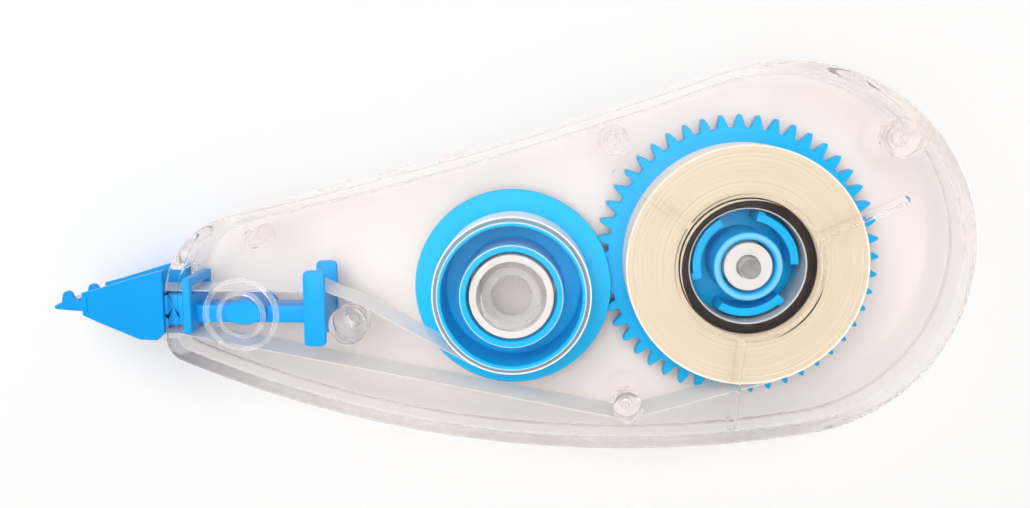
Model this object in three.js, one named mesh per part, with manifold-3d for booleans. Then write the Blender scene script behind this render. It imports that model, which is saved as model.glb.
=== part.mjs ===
// A handheld correction tape: a clear two-part case with its gear train, reels, tape and applicator head.
// Millimetres. The rear half lies on the plane Z = 0 and +Z points out of the front face.
// The head points along -X. The origin is the middle of the outline, on the rear face.

import * as THREE from 'three';
import { mergeVertices } from 'three/addons/utils/BufferGeometryUtils.js';
import Module from 'manifold-3d';

const wasm = await Module();
wasm.setup();

// Case: walls and the arcs of its teardrop outline. The big end's radius and the case's thickness follow
// from the gear and the tape that they close in.
const partingHeight = 6;
const faceWall = 1.2;
const sideWall = 1.0;
const edgeRound = 1.0;
const frontRoom = 1.7;
const bigEndCentre = { x: 26.25, y: 0.7 };
const gearWallGap = 0.82;
const noseX = -32.4;
const noseTopCorner = { y: -4.1, r: 8.3 };
const noseBottomCorner = { y: -7.8, r: 2.4 };
const bellyRadius = 106.7;
const browRadius = 390;
const lipWidth = 0.4;
const lipHeight = 0.8;
const lipGap = 0.1;

// Grip bars moulded across the top edge of the case
const gripBarX = [-16.8, -10.8, -5.0];
const gripBarLength = 2.4;
const gripBarHeight = 0.45;
const gripBarMargin = 1.6;

// Clearances
const runningGap = 0.3;
const seatGap = 0.2;
const filmGap = 0.3;

// Gear train: one module, so the axis distance follows from the tooth counts
const gearModule = 0.57;
const supplyTeeth = 48;
const takeupTeeth = 32;
const pressureAngle = THREE.MathUtils.degToRad(20);
const toothThinning = 0.16;
const toothRootRounding = 0.25;
const addendum = 1.05 * gearModule;
const dedendum = 1.25 * gearModule;
const supplyAxis = { x: 23.25, y: -0.9 };
const meshAngle = THREE.MathUtils.degToRad(187.7);

// Supply wheel, its clutch and the reel that it carries
const supplyGearThickness = 1.4;
const supplyLandInset = 0.3;
const supplyLandHeight = 0.9;
const supplyPegRadius = 2.3;
const supplyHubRadius = 3.3;
const clutchArmCount = 3;
const clutchArmSweep = THREE.MathUtils.degToRad(78);
const clutchArmRootSweep = THREE.MathUtils.degToRad(16);
const clutchArmWidth = 0.8;
const clutchArmHeight = 4.2;
const clutchArmFloorGap = 0.4;
const clutchNoseHeight = 0.2;
const coreOuterRadius = 6.6;
const coreWall = 1.1;
const rollRadius = 11.6;
const tapeWidth = 5.0;

// Take-up spool
const flangeLandGap = 1.6;
const takeupFlangeThickness = 0.7;
const drumRadius = 7.3;
const drumWall = 0.6;
const takeupHubRadius = 5.2;
const takeupHubWall = 0.8;
const spindleWall = 0.7;
const spindleBossGap = 0.5;
const spindleBossWall = 0.9;
const wrapThickness = 0.3;
const wrapGap = 0.15;

// Ribs moulded inside the front half over the reel
const guardRingRadius = 7.1;
const guardRingWall = 0.6;
const guardRibWidth = 0.8;
const guardRibReach = 15.5;
const guardRibAngles = [25, 145].map(THREE.MathUtils.degToRad);
const guardRibToWallAngle = THREE.MathUtils.degToRad(265);

// Posts that join the halves, each a rear tube and a front pin: one below the top wall, one at the big end's
// wall, one beside the take-up spool, and one that the tape turns under, above the bottom wall
const topPostX = 10.25;
const topPostRadius = 1.4;
const topPostWallGap = 0.43;
const endPostAngle = THREE.MathUtils.degToRad(43.8);
const endPostRadius = 1.85;
const endPostSink = 0.46;
const spoolPostAngle = THREE.MathUtils.degToRad(189.4);
const spoolPostRadius = 1.85;
const spoolPostGap = 6.22;
const guidePostX = 11.95;
const guidePostRadius = 1.4;
const guidePostWallGap = 1.34;
const postBoreShare = 0.5;
const postJoinHeight = 8.2;
const postPinDepth = 2.6;
const stopPinRadius = 0.9;
const stopPinAhead = 1.3;
const stopPinAbove = 7.3;

// Applicator head. Lengths along X count from the case's nose and heights from the middle of the blade.
// The wedge's stations run from its tip to its shoulder. Each flank is as deep as the tape channel and a
// rail, and the film's channel is open above its floor.
const bladeY = -5.15;
const bladeReach = 11.55;
const bladeTipThickness = 0.4;
const bladeRootThickness = 0.9;
const channelSideGap = 0.2;
const wedgeTip = { ahead: 8.65, below: 0.83, above: 1.45, floor: 0.95, rail: 0.4 };
const wedgeFront = { ahead: 6.95, below: 1.47, above: 1.89, floor: 1.15, rail: 0.75 };
const wedgeHeel = { ahead: 2.8, below: 2.95, above: 3.15, floor: 1.3, rail: 1.4 };
const wedgeBase = { ahead: 0.3, below: 3.0, above: 3.85, floor: 1.3, rail: 1.6 };
const wedgeBaseChamfer = 0.8;
const railDepth = 0.5;
const earThickness = 0.6;
const earAhead = 10.1;
const earWidth = 1.1;
const frontEarAbove = 1.65;
const rearEarAbove = 1.3;
const bladeRootOverlap = 1.0;
const neckBelow = 1.7;
const neckMargin = 0.5;
const neckRootLength = 1.0;
const collarLength = 0.8;
const collarAbove = 2.9;
const collarBelow = 2.5;
const collarMargin = 0.95;
const collarWindowGap = 0.4;
const stemBelow = 0.85;
const stemHeight = 1.7;
const stemDepth = 3.2;
const headBossBehind = 7.15;
const headBossBelow = 0.45;
const headBossRadius = 3.65;
const headBossWall = 0.5;
const headHubHalfLength = 1.95;
const headHubHalfHeight = 1.15;
const headHubMargin = 0.7;
const headPegRadius = 0.5;
const headPegHeight = 5.6;
const hubRingRadius = 1.95;
const hubRingWall = 0.4;
const forkPostGap = 0.45;
const forkLength = 2.1;
const forkAbove = 3.75;
const forkBelow = 3.65;
const forkPlateThickness = 0.7;
const forkWebAbove = 2.05;
const forkWebBelow = 2.25;
const forkWebLength = 0.6;
const forkWebBehind = 0.45;

// Tape
const filmThickness = 0.2;

// Levels along Z, from the rear face up
const rearInner = faceWall;
const gearBottom = rearInner + runningGap;
const gearTop = gearBottom + supplyGearThickness;
const landTop = gearTop + supplyLandHeight;
const flangeBottom = gearTop + runningGap;
const flangeTop = flangeBottom + takeupFlangeThickness;
const tapeBottom = Math.max(landTop, flangeTop) + seatGap;
const tapeTop = tapeBottom + tapeWidth;
const headMiddleZ = (tapeBottom + tapeTop) / 2;
const guardBottom = tapeTop + runningGap;
const frontInner = tapeTop + frontRoom;
const caseThickness = frontInner + faceWall;

// Sizes across, from the gear train outwards
const supplyPitchRadius = gearModule * supplyTeeth / 2;
const takeupPitchRadius = gearModule * takeupTeeth / 2;
const centreDistance = supplyPitchRadius + takeupPitchRadius;
const takeupAxis = {
  x: supplyAxis.x + centreDistance * Math.cos(meshAngle),
  y: supplyAxis.y + centreDistance * Math.sin(meshAngle),
};
const supplyLandRadius = rollRadius - supplyLandInset;
const takeupFlangeRadius = centreDistance - supplyLandRadius - flangeLandGap;
const coreInnerRadius = coreOuterRadius - coreWall;
const supplyBoreRadius = supplyPegRadius + runningGap;
const takeupBoreRadius = takeupHubRadius - takeupHubWall;
const spindleRadius = takeupBoreRadius - runningGap;
const spindleBossRadius = spindleRadius - spindleWall - spindleBossGap;
const rollBoreRadius = coreOuterRadius + seatGap;
const wrapRadius = drumRadius + wrapGap + wrapThickness;
const bigEnd = {
  ...bigEndCentre,
  r: bigEndCentre.y - supplyAxis.y + supplyPitchRadius + addendum + gearWallGap + sideWall,
};

const clearPlastic = { color: 0xf4f1ef, roughness: 0.08, metalness: 0, transparent: true, opacity: 0.35 };
const bluePlastic = { color: 0x0aa8f0, roughness: 0.35, metalness: 0 };
const blackPlastic = { color: 0x17120f, roughness: 0.3, metalness: 0 };
const coatedTape = { color: 0xf6ead2, roughness: 0.55, metalness: 0 };
const usedFilm = { color: 0xe9ecee, roughness: 0.25, metalness: 0 };

// Solids from three.js geometry, and back

function solid(geometry) {
  const bare = geometry.clone();
  bare.deleteAttribute('normal');
  bare.deleteAttribute('uv');
  const welded = mergeVertices(bare, 1e-5);
  const vertProperties = Float32Array.from(welded.attributes.position.array);
  const triVerts = Uint32Array.from(welded.index.array);
  return new wasm.Manifold(new wasm.Mesh({ numProp: 3, vertProperties, triVerts }));
}

function geometryOf(body) {
  const mesh = body.getMesh();
  const geometry = new THREE.BufferGeometry();
  geometry.setAttribute('position', new THREE.BufferAttribute(Float32Array.from(mesh.vertProperties), 3));
  geometry.setIndex(new THREE.BufferAttribute(Uint32Array.from(mesh.triVerts), 1));
  geometry.computeVertexNormals();
  return geometry;
}

function joined(...bodies) {
  return bodies.reduce((whole, body) => whole.add(body));
}

// A flat shape raised from z0 to z1
function prism(shape, z0, z1, curveSegments = 12) {
  const geometry = new THREE.ExtrudeGeometry(shape, { depth: z1 - z0, bevelEnabled: false, curveSegments });
  return solid(geometry.translate(0, 0, z0));
}

function polygon(points) {
  return new THREE.Shape(points.map((point) => new THREE.Vector2(point.x, point.y)));
}

function block(x0, x1, y0, y1, z0, z1) {
  const box = new THREE.BoxGeometry(x1 - x0, y1 - y0, z1 - z0);
  return solid(box.translate((x0 + x1) / 2, (y0 + y1) / 2, (z0 + z1) / 2));
}

function rod(centre, radius, z0, z1, segments = 20) {
  const cylinder = new THREE.CylinderGeometry(radius, radius, z1 - z0, segments);
  return solid(cylinder.rotateX(Math.PI / 2).translate(centre.x, centre.y, (z0 + z1) / 2));
}

function tube(centre, outerRadius, innerRadius, z0, z1, segments = 20) {
  const bore = rod(centre, innerRadius, z0 - 1, z1 + 1, segments);
  return rod(centre, outerRadius, z0, z1, segments).subtract(bore);
}

// A closed (radius, z) profile, listed anticlockwise, turned about a vertical axis
function turned(centre, profile, segments) {
  const points = [...profile, profile[0]].map(([radius, z]) => new THREE.Vector2(radius, z));
  const geometry = new THREE.LatheGeometry(points, segments);
  return solid(geometry.rotateX(Math.PI / 2).translate(centre.x, centre.y, 0));
}

// Skin through rings of equal point count, each { z, points }, closed by a flat cap at both ends
function loft(rings) {
  const count = rings[0].points.length;
  const positions = rings.flatMap(({ z, points }) => points.flatMap((point) => [point.x, point.y, z]));
  const index = [];
  for (let level = 0; level < rings.length - 1; level += 1) {
    for (let i = 0; i < count; i += 1) {
      const a = level * count + i;
      const b = level * count + (i + 1) % count;
      index.push(a, b, b + count, a, b + count, a + count);
    }
  }
  const topOffset = (rings.length - 1) * count;
  for (const [a, b, c] of THREE.ShapeUtils.triangulateShape(rings[0].points, [])) {
    index.push(c, b, a);
    index.push(a + topOffset, b + topOffset, c + topOffset);
  }
  const geometry = new THREE.BufferGeometry();
  geometry.setAttribute('position', new THREE.Float32BufferAttribute(positions, 3));
  geometry.setIndex(index);
  return solid(geometry);
}

// Plane geometry

function arcPoints(centre, radius, from, to, steps) {
  const points = [];
  for (let i = 0; i < steps; i += 1) {
    const angle = from + (to - from) * i / steps;
    points.push(new THREE.Vector2(centre.x + radius * Math.cos(angle), centre.y + radius * Math.sin(angle)));
  }
  return points;
}

function directionTo(from, to) {
  return Math.atan2(to.y - from.y, to.x - from.x);
}

// The point at distance a from one centre and b from another, left (side 1) or right (side -1) of their line
function pointAtDistances(first, a, second, b, side) {
  const span = Math.hypot(second.x - first.x, second.y - first.y);
  const angle = Math.acos((a * a + span * span - b * b) / (2 * a * span));
  const direction = directionTo(first, second) + side * angle;
  return { x: first.x + a * Math.cos(direction), y: first.y + a * Math.sin(direction) };
}

// Where a straight stretch of tape leaves one circle and meets the next, both on its same side.
// A radius of 0 stands for a plain corner. On side 1 the tape runs to the left of both centres.
function tapeTangent(first, firstRadius, second, secondRadius, side) {
  const span = Math.hypot(second.x - first.x, second.y - first.y);
  const lean = Math.acos((firstRadius - secondRadius) / span);
  const normal = directionTo(first, second) + side * lean;
  return [[first, firstRadius], [second, secondRadius]].map(([centre, radius]) => new THREE.Vector2(
    centre.x + radius * Math.cos(normal),
    centre.y + radius * Math.sin(normal),
  ));
}

// Case outline: five tangent arcs and the straight nose, drawn in by inset

const noseTop = { x: noseX + noseTopCorner.r, y: noseTopCorner.y };
const noseBottom = { x: noseX + noseBottomCorner.r, y: noseBottomCorner.y };
const bellyCentre = pointAtDistances(
  noseBottom, bellyRadius - noseBottomCorner.r, bigEnd, bellyRadius - bigEnd.r, 1,
);
const browCentre = pointAtDistances(bigEnd, browRadius + bigEnd.r, noseTop, browRadius + noseTopCorner.r, -1);

// The outline's height above and below a point of the X axis, between its round ends
function browHeight(x) {
  return browCentre.y - Math.sqrt(browRadius ** 2 - (x - browCentre.x) ** 2);
}

function bellyHeight(x) {
  return bellyCentre.y - Math.sqrt(bellyRadius ** 2 - (x - bellyCentre.x) ** 2);
}

function caseOutline(inset) {
  const bellyStart = directionTo(bellyCentre, noseBottom);
  const bellyEnd = directionTo(bellyCentre, bigEnd);
  const bellyLowest = -Math.PI / 2;
  const browStart = directionTo(bigEnd, browCentre);
  const browEnd = directionTo(noseTop, browCentre);
  return [
    ...arcPoints(noseBottom, noseBottomCorner.r - inset, -Math.PI, bellyStart, 4),
    ...arcPoints(bellyCentre, bellyRadius - inset, bellyStart, bellyLowest, 7),
    ...arcPoints(bellyCentre, bellyRadius - inset, bellyLowest, bellyEnd, 3),
    ...arcPoints(bigEnd, bigEnd.r - inset, bellyEnd, 0, 9),
    ...arcPoints(bigEnd, bigEnd.r - inset, 0, Math.PI / 2, 11),
    ...arcPoints(bigEnd, bigEnd.r - inset, Math.PI / 2, browStart, 3),
    ...arcPoints(browCentre, browRadius + inset, browStart - Math.PI, browEnd - Math.PI, 5),
    ...arcPoints(noseTop, noseTopCorner.r - inset, browEnd, Math.PI, 7),
    new THREE.Vector2(noseX + inset, noseTop.y),
  ];
}

function outlineRings(levels) {
  return loft(levels.map(([z, inset]) => ({ z, points: caseOutline(inset) })));
}

// Outer skin of one half, from its flat face (z0) to the parting plane (z1), with a rounded edge
function roundedSkin(z0, z1) {
  const up = Math.sign(z1 - z0);
  const levels = [0, 30, 60, 90].map(THREE.MathUtils.degToRad).map((angle) => [
    z0 + up * edgeRound * (1 - Math.cos(angle)),
    edgeRound * (1 - Math.sin(angle)),
  ]);
  levels.push([z1, 0]);
  return outlineRings(up > 0 ? levels : levels.reverse());
}

// A short bar lying across the top edge at abscissa x, between two levels
function gripBar(x, z0, z1) {
  const y = browHeight(x);
  const outward = directionTo({ x, y }, browCentre);
  const along = new THREE.Vector2(Math.sin(outward), -Math.cos(outward));
  const out = new THREE.Vector2(Math.cos(outward), Math.sin(outward));
  const corner = (s, h) => new THREE.Vector2(x, y).addScaledVector(along, s).addScaledVector(out, h);
  const half = gripBarLength / 2;
  const shoulder = half - gripBarHeight;
  const root = -sideWall / 2;
  const points = [
    corner(-half, root), corner(half, root), corner(half, 0),
    corner(shoulder, gripBarHeight), corner(-shoulder, gripBarHeight), corner(-half, 0),
  ];
  return prism(polygon(THREE.ShapeUtils.area(points) > 0 ? points : points.reverse()), z0, z1);
}

function withGripBars(half, z0, z1) {
  return joined(half, ...gripBarX.map((x) => gripBar(x, z0, z1)));
}

// Where the posts stand, and the places of the head that they settle

function beyond(centre, angle, distance) {
  return { x: centre.x + distance * Math.cos(angle), y: centre.y + distance * Math.sin(angle) };
}

const topPost = {
  x: topPostX,
  y: browHeight(topPostX) - sideWall - topPostWallGap - topPostRadius,
  r: topPostRadius,
};
const endPost = {
  ...beyond(bigEnd, endPostAngle, bigEnd.r - sideWall + endPostSink - endPostRadius),
  r: endPostRadius,
};
const spoolPost = {
  ...beyond(takeupAxis, spoolPostAngle, wrapRadius + spoolPostGap + spoolPostRadius),
  r: spoolPostRadius,
};
const guidePost = {
  x: guidePostX,
  y: bellyHeight(guidePostX) + sideWall + guidePostWallGap + guidePostRadius,
  r: guidePostRadius,
};
const posts = [topPost, endPost, spoolPost, guidePost];
const headBoss = { x: noseX + headBossBehind, y: bladeY - headBossBelow };
const stopPin = { x: headBoss.x + stopPinAhead, y: headBoss.y + stopPinAbove };
const forkX = spoolPost.x - spoolPostRadius - forkPostGap - forkLength / 2;
const forkPlateRear = tapeBottom - filmGap - forkPlateThickness;
const forkPlateFront = tapeTop + filmGap;
const ringBottom = forkPlateFront + forkPlateThickness + seatGap;

// The opening in the nose wall that the head's neck and both runs of tape pass through
const neckDepth = tapeWidth + 2 * neckMargin;
const slotMargin = 0.5;
const slotBottom = bladeY - wedgeBase.below + railDepth - slotMargin;
const slotTop = bladeY + wedgeBase.above - railDepth + slotMargin;
const slotRear = headMiddleZ - neckDepth / 2 - slotMargin;
const slotFront = headMiddleZ + neckDepth / 2 + slotMargin;

function noseSlot() {
  return block(noseX - 1, noseX + sideWall + 1, slotBottom, slotTop, slotRear, slotFront);
}

function caseRear() {
  const shell = roundedSkin(0, partingHeight)
    .subtract(outlineRings([[rearInner, sideWall], [partingHeight + 1, sideWall]]));
  const lipOutside = sideWall - lipWidth;
  const lip = outlineRings([[partingHeight - faceWall, lipOutside], [partingHeight + lipHeight, lipOutside]])
    .subtract(outlineRings([[0, sideWall], [caseThickness, sideWall]]));
  const root = rearInner - faceWall / 2;
  const tubes = posts.map((post) => (
    rod(post, post.r, root, postJoinHeight).subtract(rod(
      post, post.r * postBoreShare, postJoinHeight - postPinDepth - runningGap, postJoinHeight + 1,
    ))
  ));
  const pegBore = supplyPegRadius * postBoreShare;
  const supplyPeg = tube(supplyAxis, supplyPegRadius, pegBore, rearInner, guardBottom)
    .add(rod(supplyAxis, supplyPegRadius, root, rearInner + faceWall));
  const spindle = tube(takeupAxis, spindleRadius, spindleRadius - spindleWall, root, guardBottom, 32);
  const headPeg = rod(headBoss, headPegRadius, root, headPegHeight, 16);
  const pin = rod(stopPin, stopPinRadius, root, frontInner - runningGap, 16);
  const frontWallSpace = outlineRings([[partingHeight, -sideWall], [caseThickness, -sideWall]])
    .subtract(outlineRings([[0, sideWall + lipGap], [caseThickness + 1, sideWall + lipGap]]));
  const innards = joined(...tubes, supplyPeg, spindle, headPeg, pin).subtract(frontWallSpace);
  const half = joined(shell, lip, innards).subtract(noseSlot());
  return withGripBars(half, gripBarMargin, partingHeight);
}

function guardRib(angle, reach) {
  const half = guardRibWidth / 2;
  const start = guardRingRadius - guardRingWall / 2;
  const bar = new THREE.BoxGeometry(reach - start, 2 * half, frontInner + faceWall / 2 - guardBottom);
  bar.translate((reach + start) / 2, 0, (frontInner + faceWall / 2 + guardBottom) / 2);
  bar.rotateZ(angle).translate(supplyAxis.x, supplyAxis.y, 0);
  const end = { x: supplyAxis.x + reach * Math.cos(angle), y: supplyAxis.y + reach * Math.sin(angle) };
  return solid(bar).add(rod(end, half, guardBottom, frontInner + faceWall / 2, 12));
}

function caseFront() {
  const shell = roundedSkin(caseThickness, partingHeight)
    .subtract(outlineRings([[partingHeight - 1, sideWall], [frontInner, sideWall]]))
    .subtract(outlineRings([
      [partingHeight - 1, sideWall - lipWidth - lipGap],
      [partingHeight + lipHeight + lipGap, sideWall - lipWidth - lipGap],
    ]));
  const roof = frontInner + faceWall / 2;
  const pins = posts.flatMap((post) => [
    rod(post, post.r, postJoinHeight + runningGap, roof),
    rod(post, post.r * postBoreShare - seatGap, postJoinHeight - postPinDepth, roof, 16),
  ]);
  const supplyPinRadius = supplyPegRadius * postBoreShare - seatGap;
  const supplyPin = rod(supplyAxis, supplyPinRadius, guardBottom - postPinDepth, roof, 16);
  const spindleBoss = tube(takeupAxis, spindleBossRadius, spindleBossRadius - spindleBossWall,
    guardBottom - 1, roof);
  const guardRing = tube(supplyAxis, guardRingRadius, guardRingRadius - guardRingWall, guardBottom, roof, 48);
  const wallReach = supplyAxis.y - bigEnd.y + bigEnd.r - sideWall / 2;
  const ribs = [
    ...guardRibAngles.map((angle) => guardRib(angle, guardRibReach)),
    guardRib(guardRibToWallAngle, wallReach),
  ];
  const bossRing = tube(headBoss, headBossRadius, headBossRadius - headBossWall, ringBottom, roof, 32);
  const hubRing = tube(headBoss, hubRingRadius + hubRingWall, hubRingRadius, ringBottom, roof);
  const half = joined(shell, ...pins, supplyPin, spindleBoss, guardRing, ...ribs, bossRing, hubRing)
    .subtract(noseSlot());
  return withGripBars(half, partingHeight, caseThickness - gripBarMargin);
}

// Involute spur gear outline with a tooth centred on the given direction

function involute(angle) {
  return Math.tan(angle) - angle;
}

function gearShape(teeth, phase) {
  const pitchRadius = gearModule * teeth / 2;
  const baseRadius = pitchRadius * Math.cos(pressureAngle);
  const tipRadius = pitchRadius + addendum;
  const rootRadius = pitchRadius - dedendum;
  const halfAtPitch = Math.PI / (2 * teeth) - toothThinning / (2 * pitchRadius);
  const halfAt = (radius) => {
    const here = Math.acos(Math.min(1, baseRadius / radius));
    return halfAtPitch + involute(pressureAngle) - involute(here);
  };
  const flank = [Math.max(rootRadius, baseRadius), pitchRadius, tipRadius];
  const points = [];
  for (let tooth = 0; tooth < teeth; tooth += 1) {
    const middle = phase + 2 * Math.PI * tooth / teeth;
    const rootHalf = halfAt(flank[0]) + toothRootRounding * (Math.PI / teeth - halfAt(flank[0]));
    const polar = [
      [rootRadius, -rootHalf],
      ...flank.map((radius) => [radius, -halfAt(radius)]),
      ...[...flank].reverse().map((radius) => [radius, halfAt(radius)]),
      [rootRadius, rootHalf],
    ];
    points.push(...polar.map(([radius, angle]) => ({
      x: radius * Math.cos(middle + angle),
      y: radius * Math.sin(middle + angle),
    })));
  }
  return polygon(points);
}

function supplyGear() {
  const toothed = prism(gearShape(supplyTeeth, meshAngle), gearBottom, gearTop)
    .translate([supplyAxis.x, supplyAxis.y, 0]);
  const land = rod(supplyAxis, supplyLandRadius, gearBottom, landTop, 64);
  const hub = rod(supplyAxis, supplyHubRadius, gearBottom, guardBottom, 32);
  const arms = Array.from({ length: clutchArmCount }, (_, i) => clutchArm(2 * Math.PI * i / clutchArmCount));
  const bore = rod(supplyAxis, supplyBoreRadius, 0, caseThickness, 32);
  return joined(toothed, land, hub, ...arms).subtract(bore);
}

// A springy finger that stands on its root and presses outward on the core's bore
function clutchArm(start) {
  const outer = coreInnerRadius - seatGap - clutchNoseHeight;
  const inner = outer - clutchArmWidth;
  const sector = (from, to, r0, r1) => polygon([
    ...arcPoints({ x: 0, y: 0 }, r1, from, to, 8),
    ...arcPoints({ x: 0, y: 0 }, r1, to, to, 1),
    ...arcPoints({ x: 0, y: 0 }, r0, to, from, 8),
    ...arcPoints({ x: 0, y: 0 }, r0, from, from, 1),
  ]);
  const end = start + clutchArmSweep;
  const top = landTop + clutchArmHeight;
  const finger = prism(sector(start, end, inner, outer), landTop + clutchArmFloorGap, top);
  const rootSector = sector(start, start + clutchArmRootSweep, inner, outer);
  const root = prism(rootSector, landTop - supplyLandHeight / 2, top);
  const noseStart = end - clutchArmRootSweep / 2;
  const noseSector = sector(noseStart, end, inner, outer + clutchNoseHeight);
  const nose = prism(noseSector, landTop + clutchArmFloorGap, top);
  return joined(finger, root, nose).translate([supplyAxis.x, supplyAxis.y, 0]);
}

function supplyCore() {
  return tube(supplyAxis, coreOuterRadius, coreInnerRadius, tapeBottom, tapeTop, 48);
}

function tapeRoll() {
  return tube(supplyAxis, rollRadius, rollBoreRadius, tapeBottom, tapeTop, 72);
}

function takeupSpool() {
  const gapPhase = meshAngle + Math.PI + Math.PI / takeupTeeth;
  const pinion = prism(gearShape(takeupTeeth, gapPhase), gearBottom, flangeBottom + takeupFlangeThickness / 2)
    .translate([takeupAxis.x, takeupAxis.y, 0]);
  const body = turned(takeupAxis, [
    [takeupBoreRadius, gearBottom],
    [takeupHubRadius + drumWall, gearBottom],
    [takeupHubRadius + drumWall, flangeBottom],
    [takeupFlangeRadius, flangeBottom],
    [takeupFlangeRadius, flangeTop],
    [drumRadius, flangeTop],
    [drumRadius, guardBottom],
    [drumRadius - drumWall, guardBottom],
    [drumRadius - drumWall, flangeTop],
    [takeupHubRadius, flangeTop],
    [takeupHubRadius, guardBottom],
    [takeupBoreRadius, guardBottom],
  ], 48);
  const bore = rod(takeupAxis, takeupBoreRadius, 0, caseThickness, 48);
  return body.add(pinion.subtract(bore));
}

function takeupWraps() {
  return tube(takeupAxis, wrapRadius, drumRadius + wrapGap, tapeBottom, tapeTop, 48);
}

// Applicator head

const bladeWidth = tapeWidth + 2 * channelSideGap;
const bladeTipX = noseX - bladeReach;
const wedgeStations = [wedgeTip, wedgeFront, wedgeHeel, wedgeBase].map((station) => ({
  x: noseX - station.ahead,
  bottom: bladeY - station.below,
  top: bladeY + station.above,
  lowerFloor: bladeY - station.below + railDepth,
  upperFloor: bladeY + station.floor,
  depth: bladeWidth + 2 * station.rail,
}));
const [tipStation, frontStation, heelStation, shoulder] = wedgeStations;

// The height of a channel's floor over x, straight between stations and level past the ends
function floorHeight(floor, x) {
  const later = wedgeStations.findIndex((station) => station.x >= x);
  if (later <= 0) return (later === 0 ? tipStation : shoulder)[floor];
  const a = wedgeStations[later - 1];
  const b = wedgeStations[later];
  return a[floor] + (b[floor] - a[floor]) * (x - a.x) / (b.x - a.x);
}

// Rectangular sections along X skinned into one wedge
function wedge() {
  const rings = wedgeStations.map(({ x, bottom, top, depth }) => ({
    z: x,
    points: [
      new THREE.Vector2(bottom, headMiddleZ - depth / 2),
      new THREE.Vector2(top, headMiddleZ - depth / 2),
      new THREE.Vector2(top, headMiddleZ + depth / 2),
      new THREE.Vector2(bottom, headMiddleZ + depth / 2),
    ],
  }));
  // The loft runs along Z with its sections in X and Y. Turning its axes (x, y, z) to (y, z, x) lays it down.
  return loft(rings).transform([0, 1, 0, 0, 0, 0, 1, 0, 1, 0, 0, 0, 0, 0, 0, 1]);
}

// The channel that one run of tape lies in, cut into the wedge from its floor out past its top or bottom face
function tapeChannel(floorName, outward) {
  const overshoot = 1;
  const xs = [tipStation.x - overshoot, ...wedgeStations.map(({ x }) => x), shoulder.x + overshoot];
  const open = bladeY + outward * (wedgeBase.above + wedgeBase.below);
  const floor = xs.map((x) => ({ x, y: floorHeight(floorName, x) }));
  const points = [...floor, { x: xs.at(-1), y: open }, { x: xs[0], y: open }];
  return prism(
    polygon(outward > 0 ? points : points.reverse()),
    headMiddleZ - bladeWidth / 2, headMiddleZ + bladeWidth / 2,
  );
}

// The slanting cut that takes the lower corner off the wedge's base
function baseChamfer() {
  const past = 2 * wedgeBaseChamfer;
  return prism(polygon([
    { x: shoulder.x - past, y: shoulder.bottom - past + wedgeBaseChamfer },
    { x: shoulder.x + past, y: shoulder.bottom - past + wedgeBaseChamfer },
    { x: shoulder.x + past, y: shoulder.bottom + past + wedgeBaseChamfer },
  ]), 0, caseThickness);
}

function ear(above, z) {
  const half = earWidth / 2;
  const x = noseX - earAhead;
  const foot = bladeY - bladeTipThickness / 2;
  const round = { x, y: bladeY + above - half };
  const shape = polygon([
    { x: x - half, y: foot },
    { x: x + half, y: foot },
    ...arcPoints(round, half, 0, Math.PI, 8),
    { x: x - half, y: round.y },
  ]);
  return prism(shape, z, z + earThickness);
}

// The level that the used film keeps from the wedge's base to the fork
const filmOffset = filmGap + filmThickness / 2;
const filmLevel = shoulder.upperFloor + seatGap + filmThickness / 2;
const webX = forkX + forkWebBehind;

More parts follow.
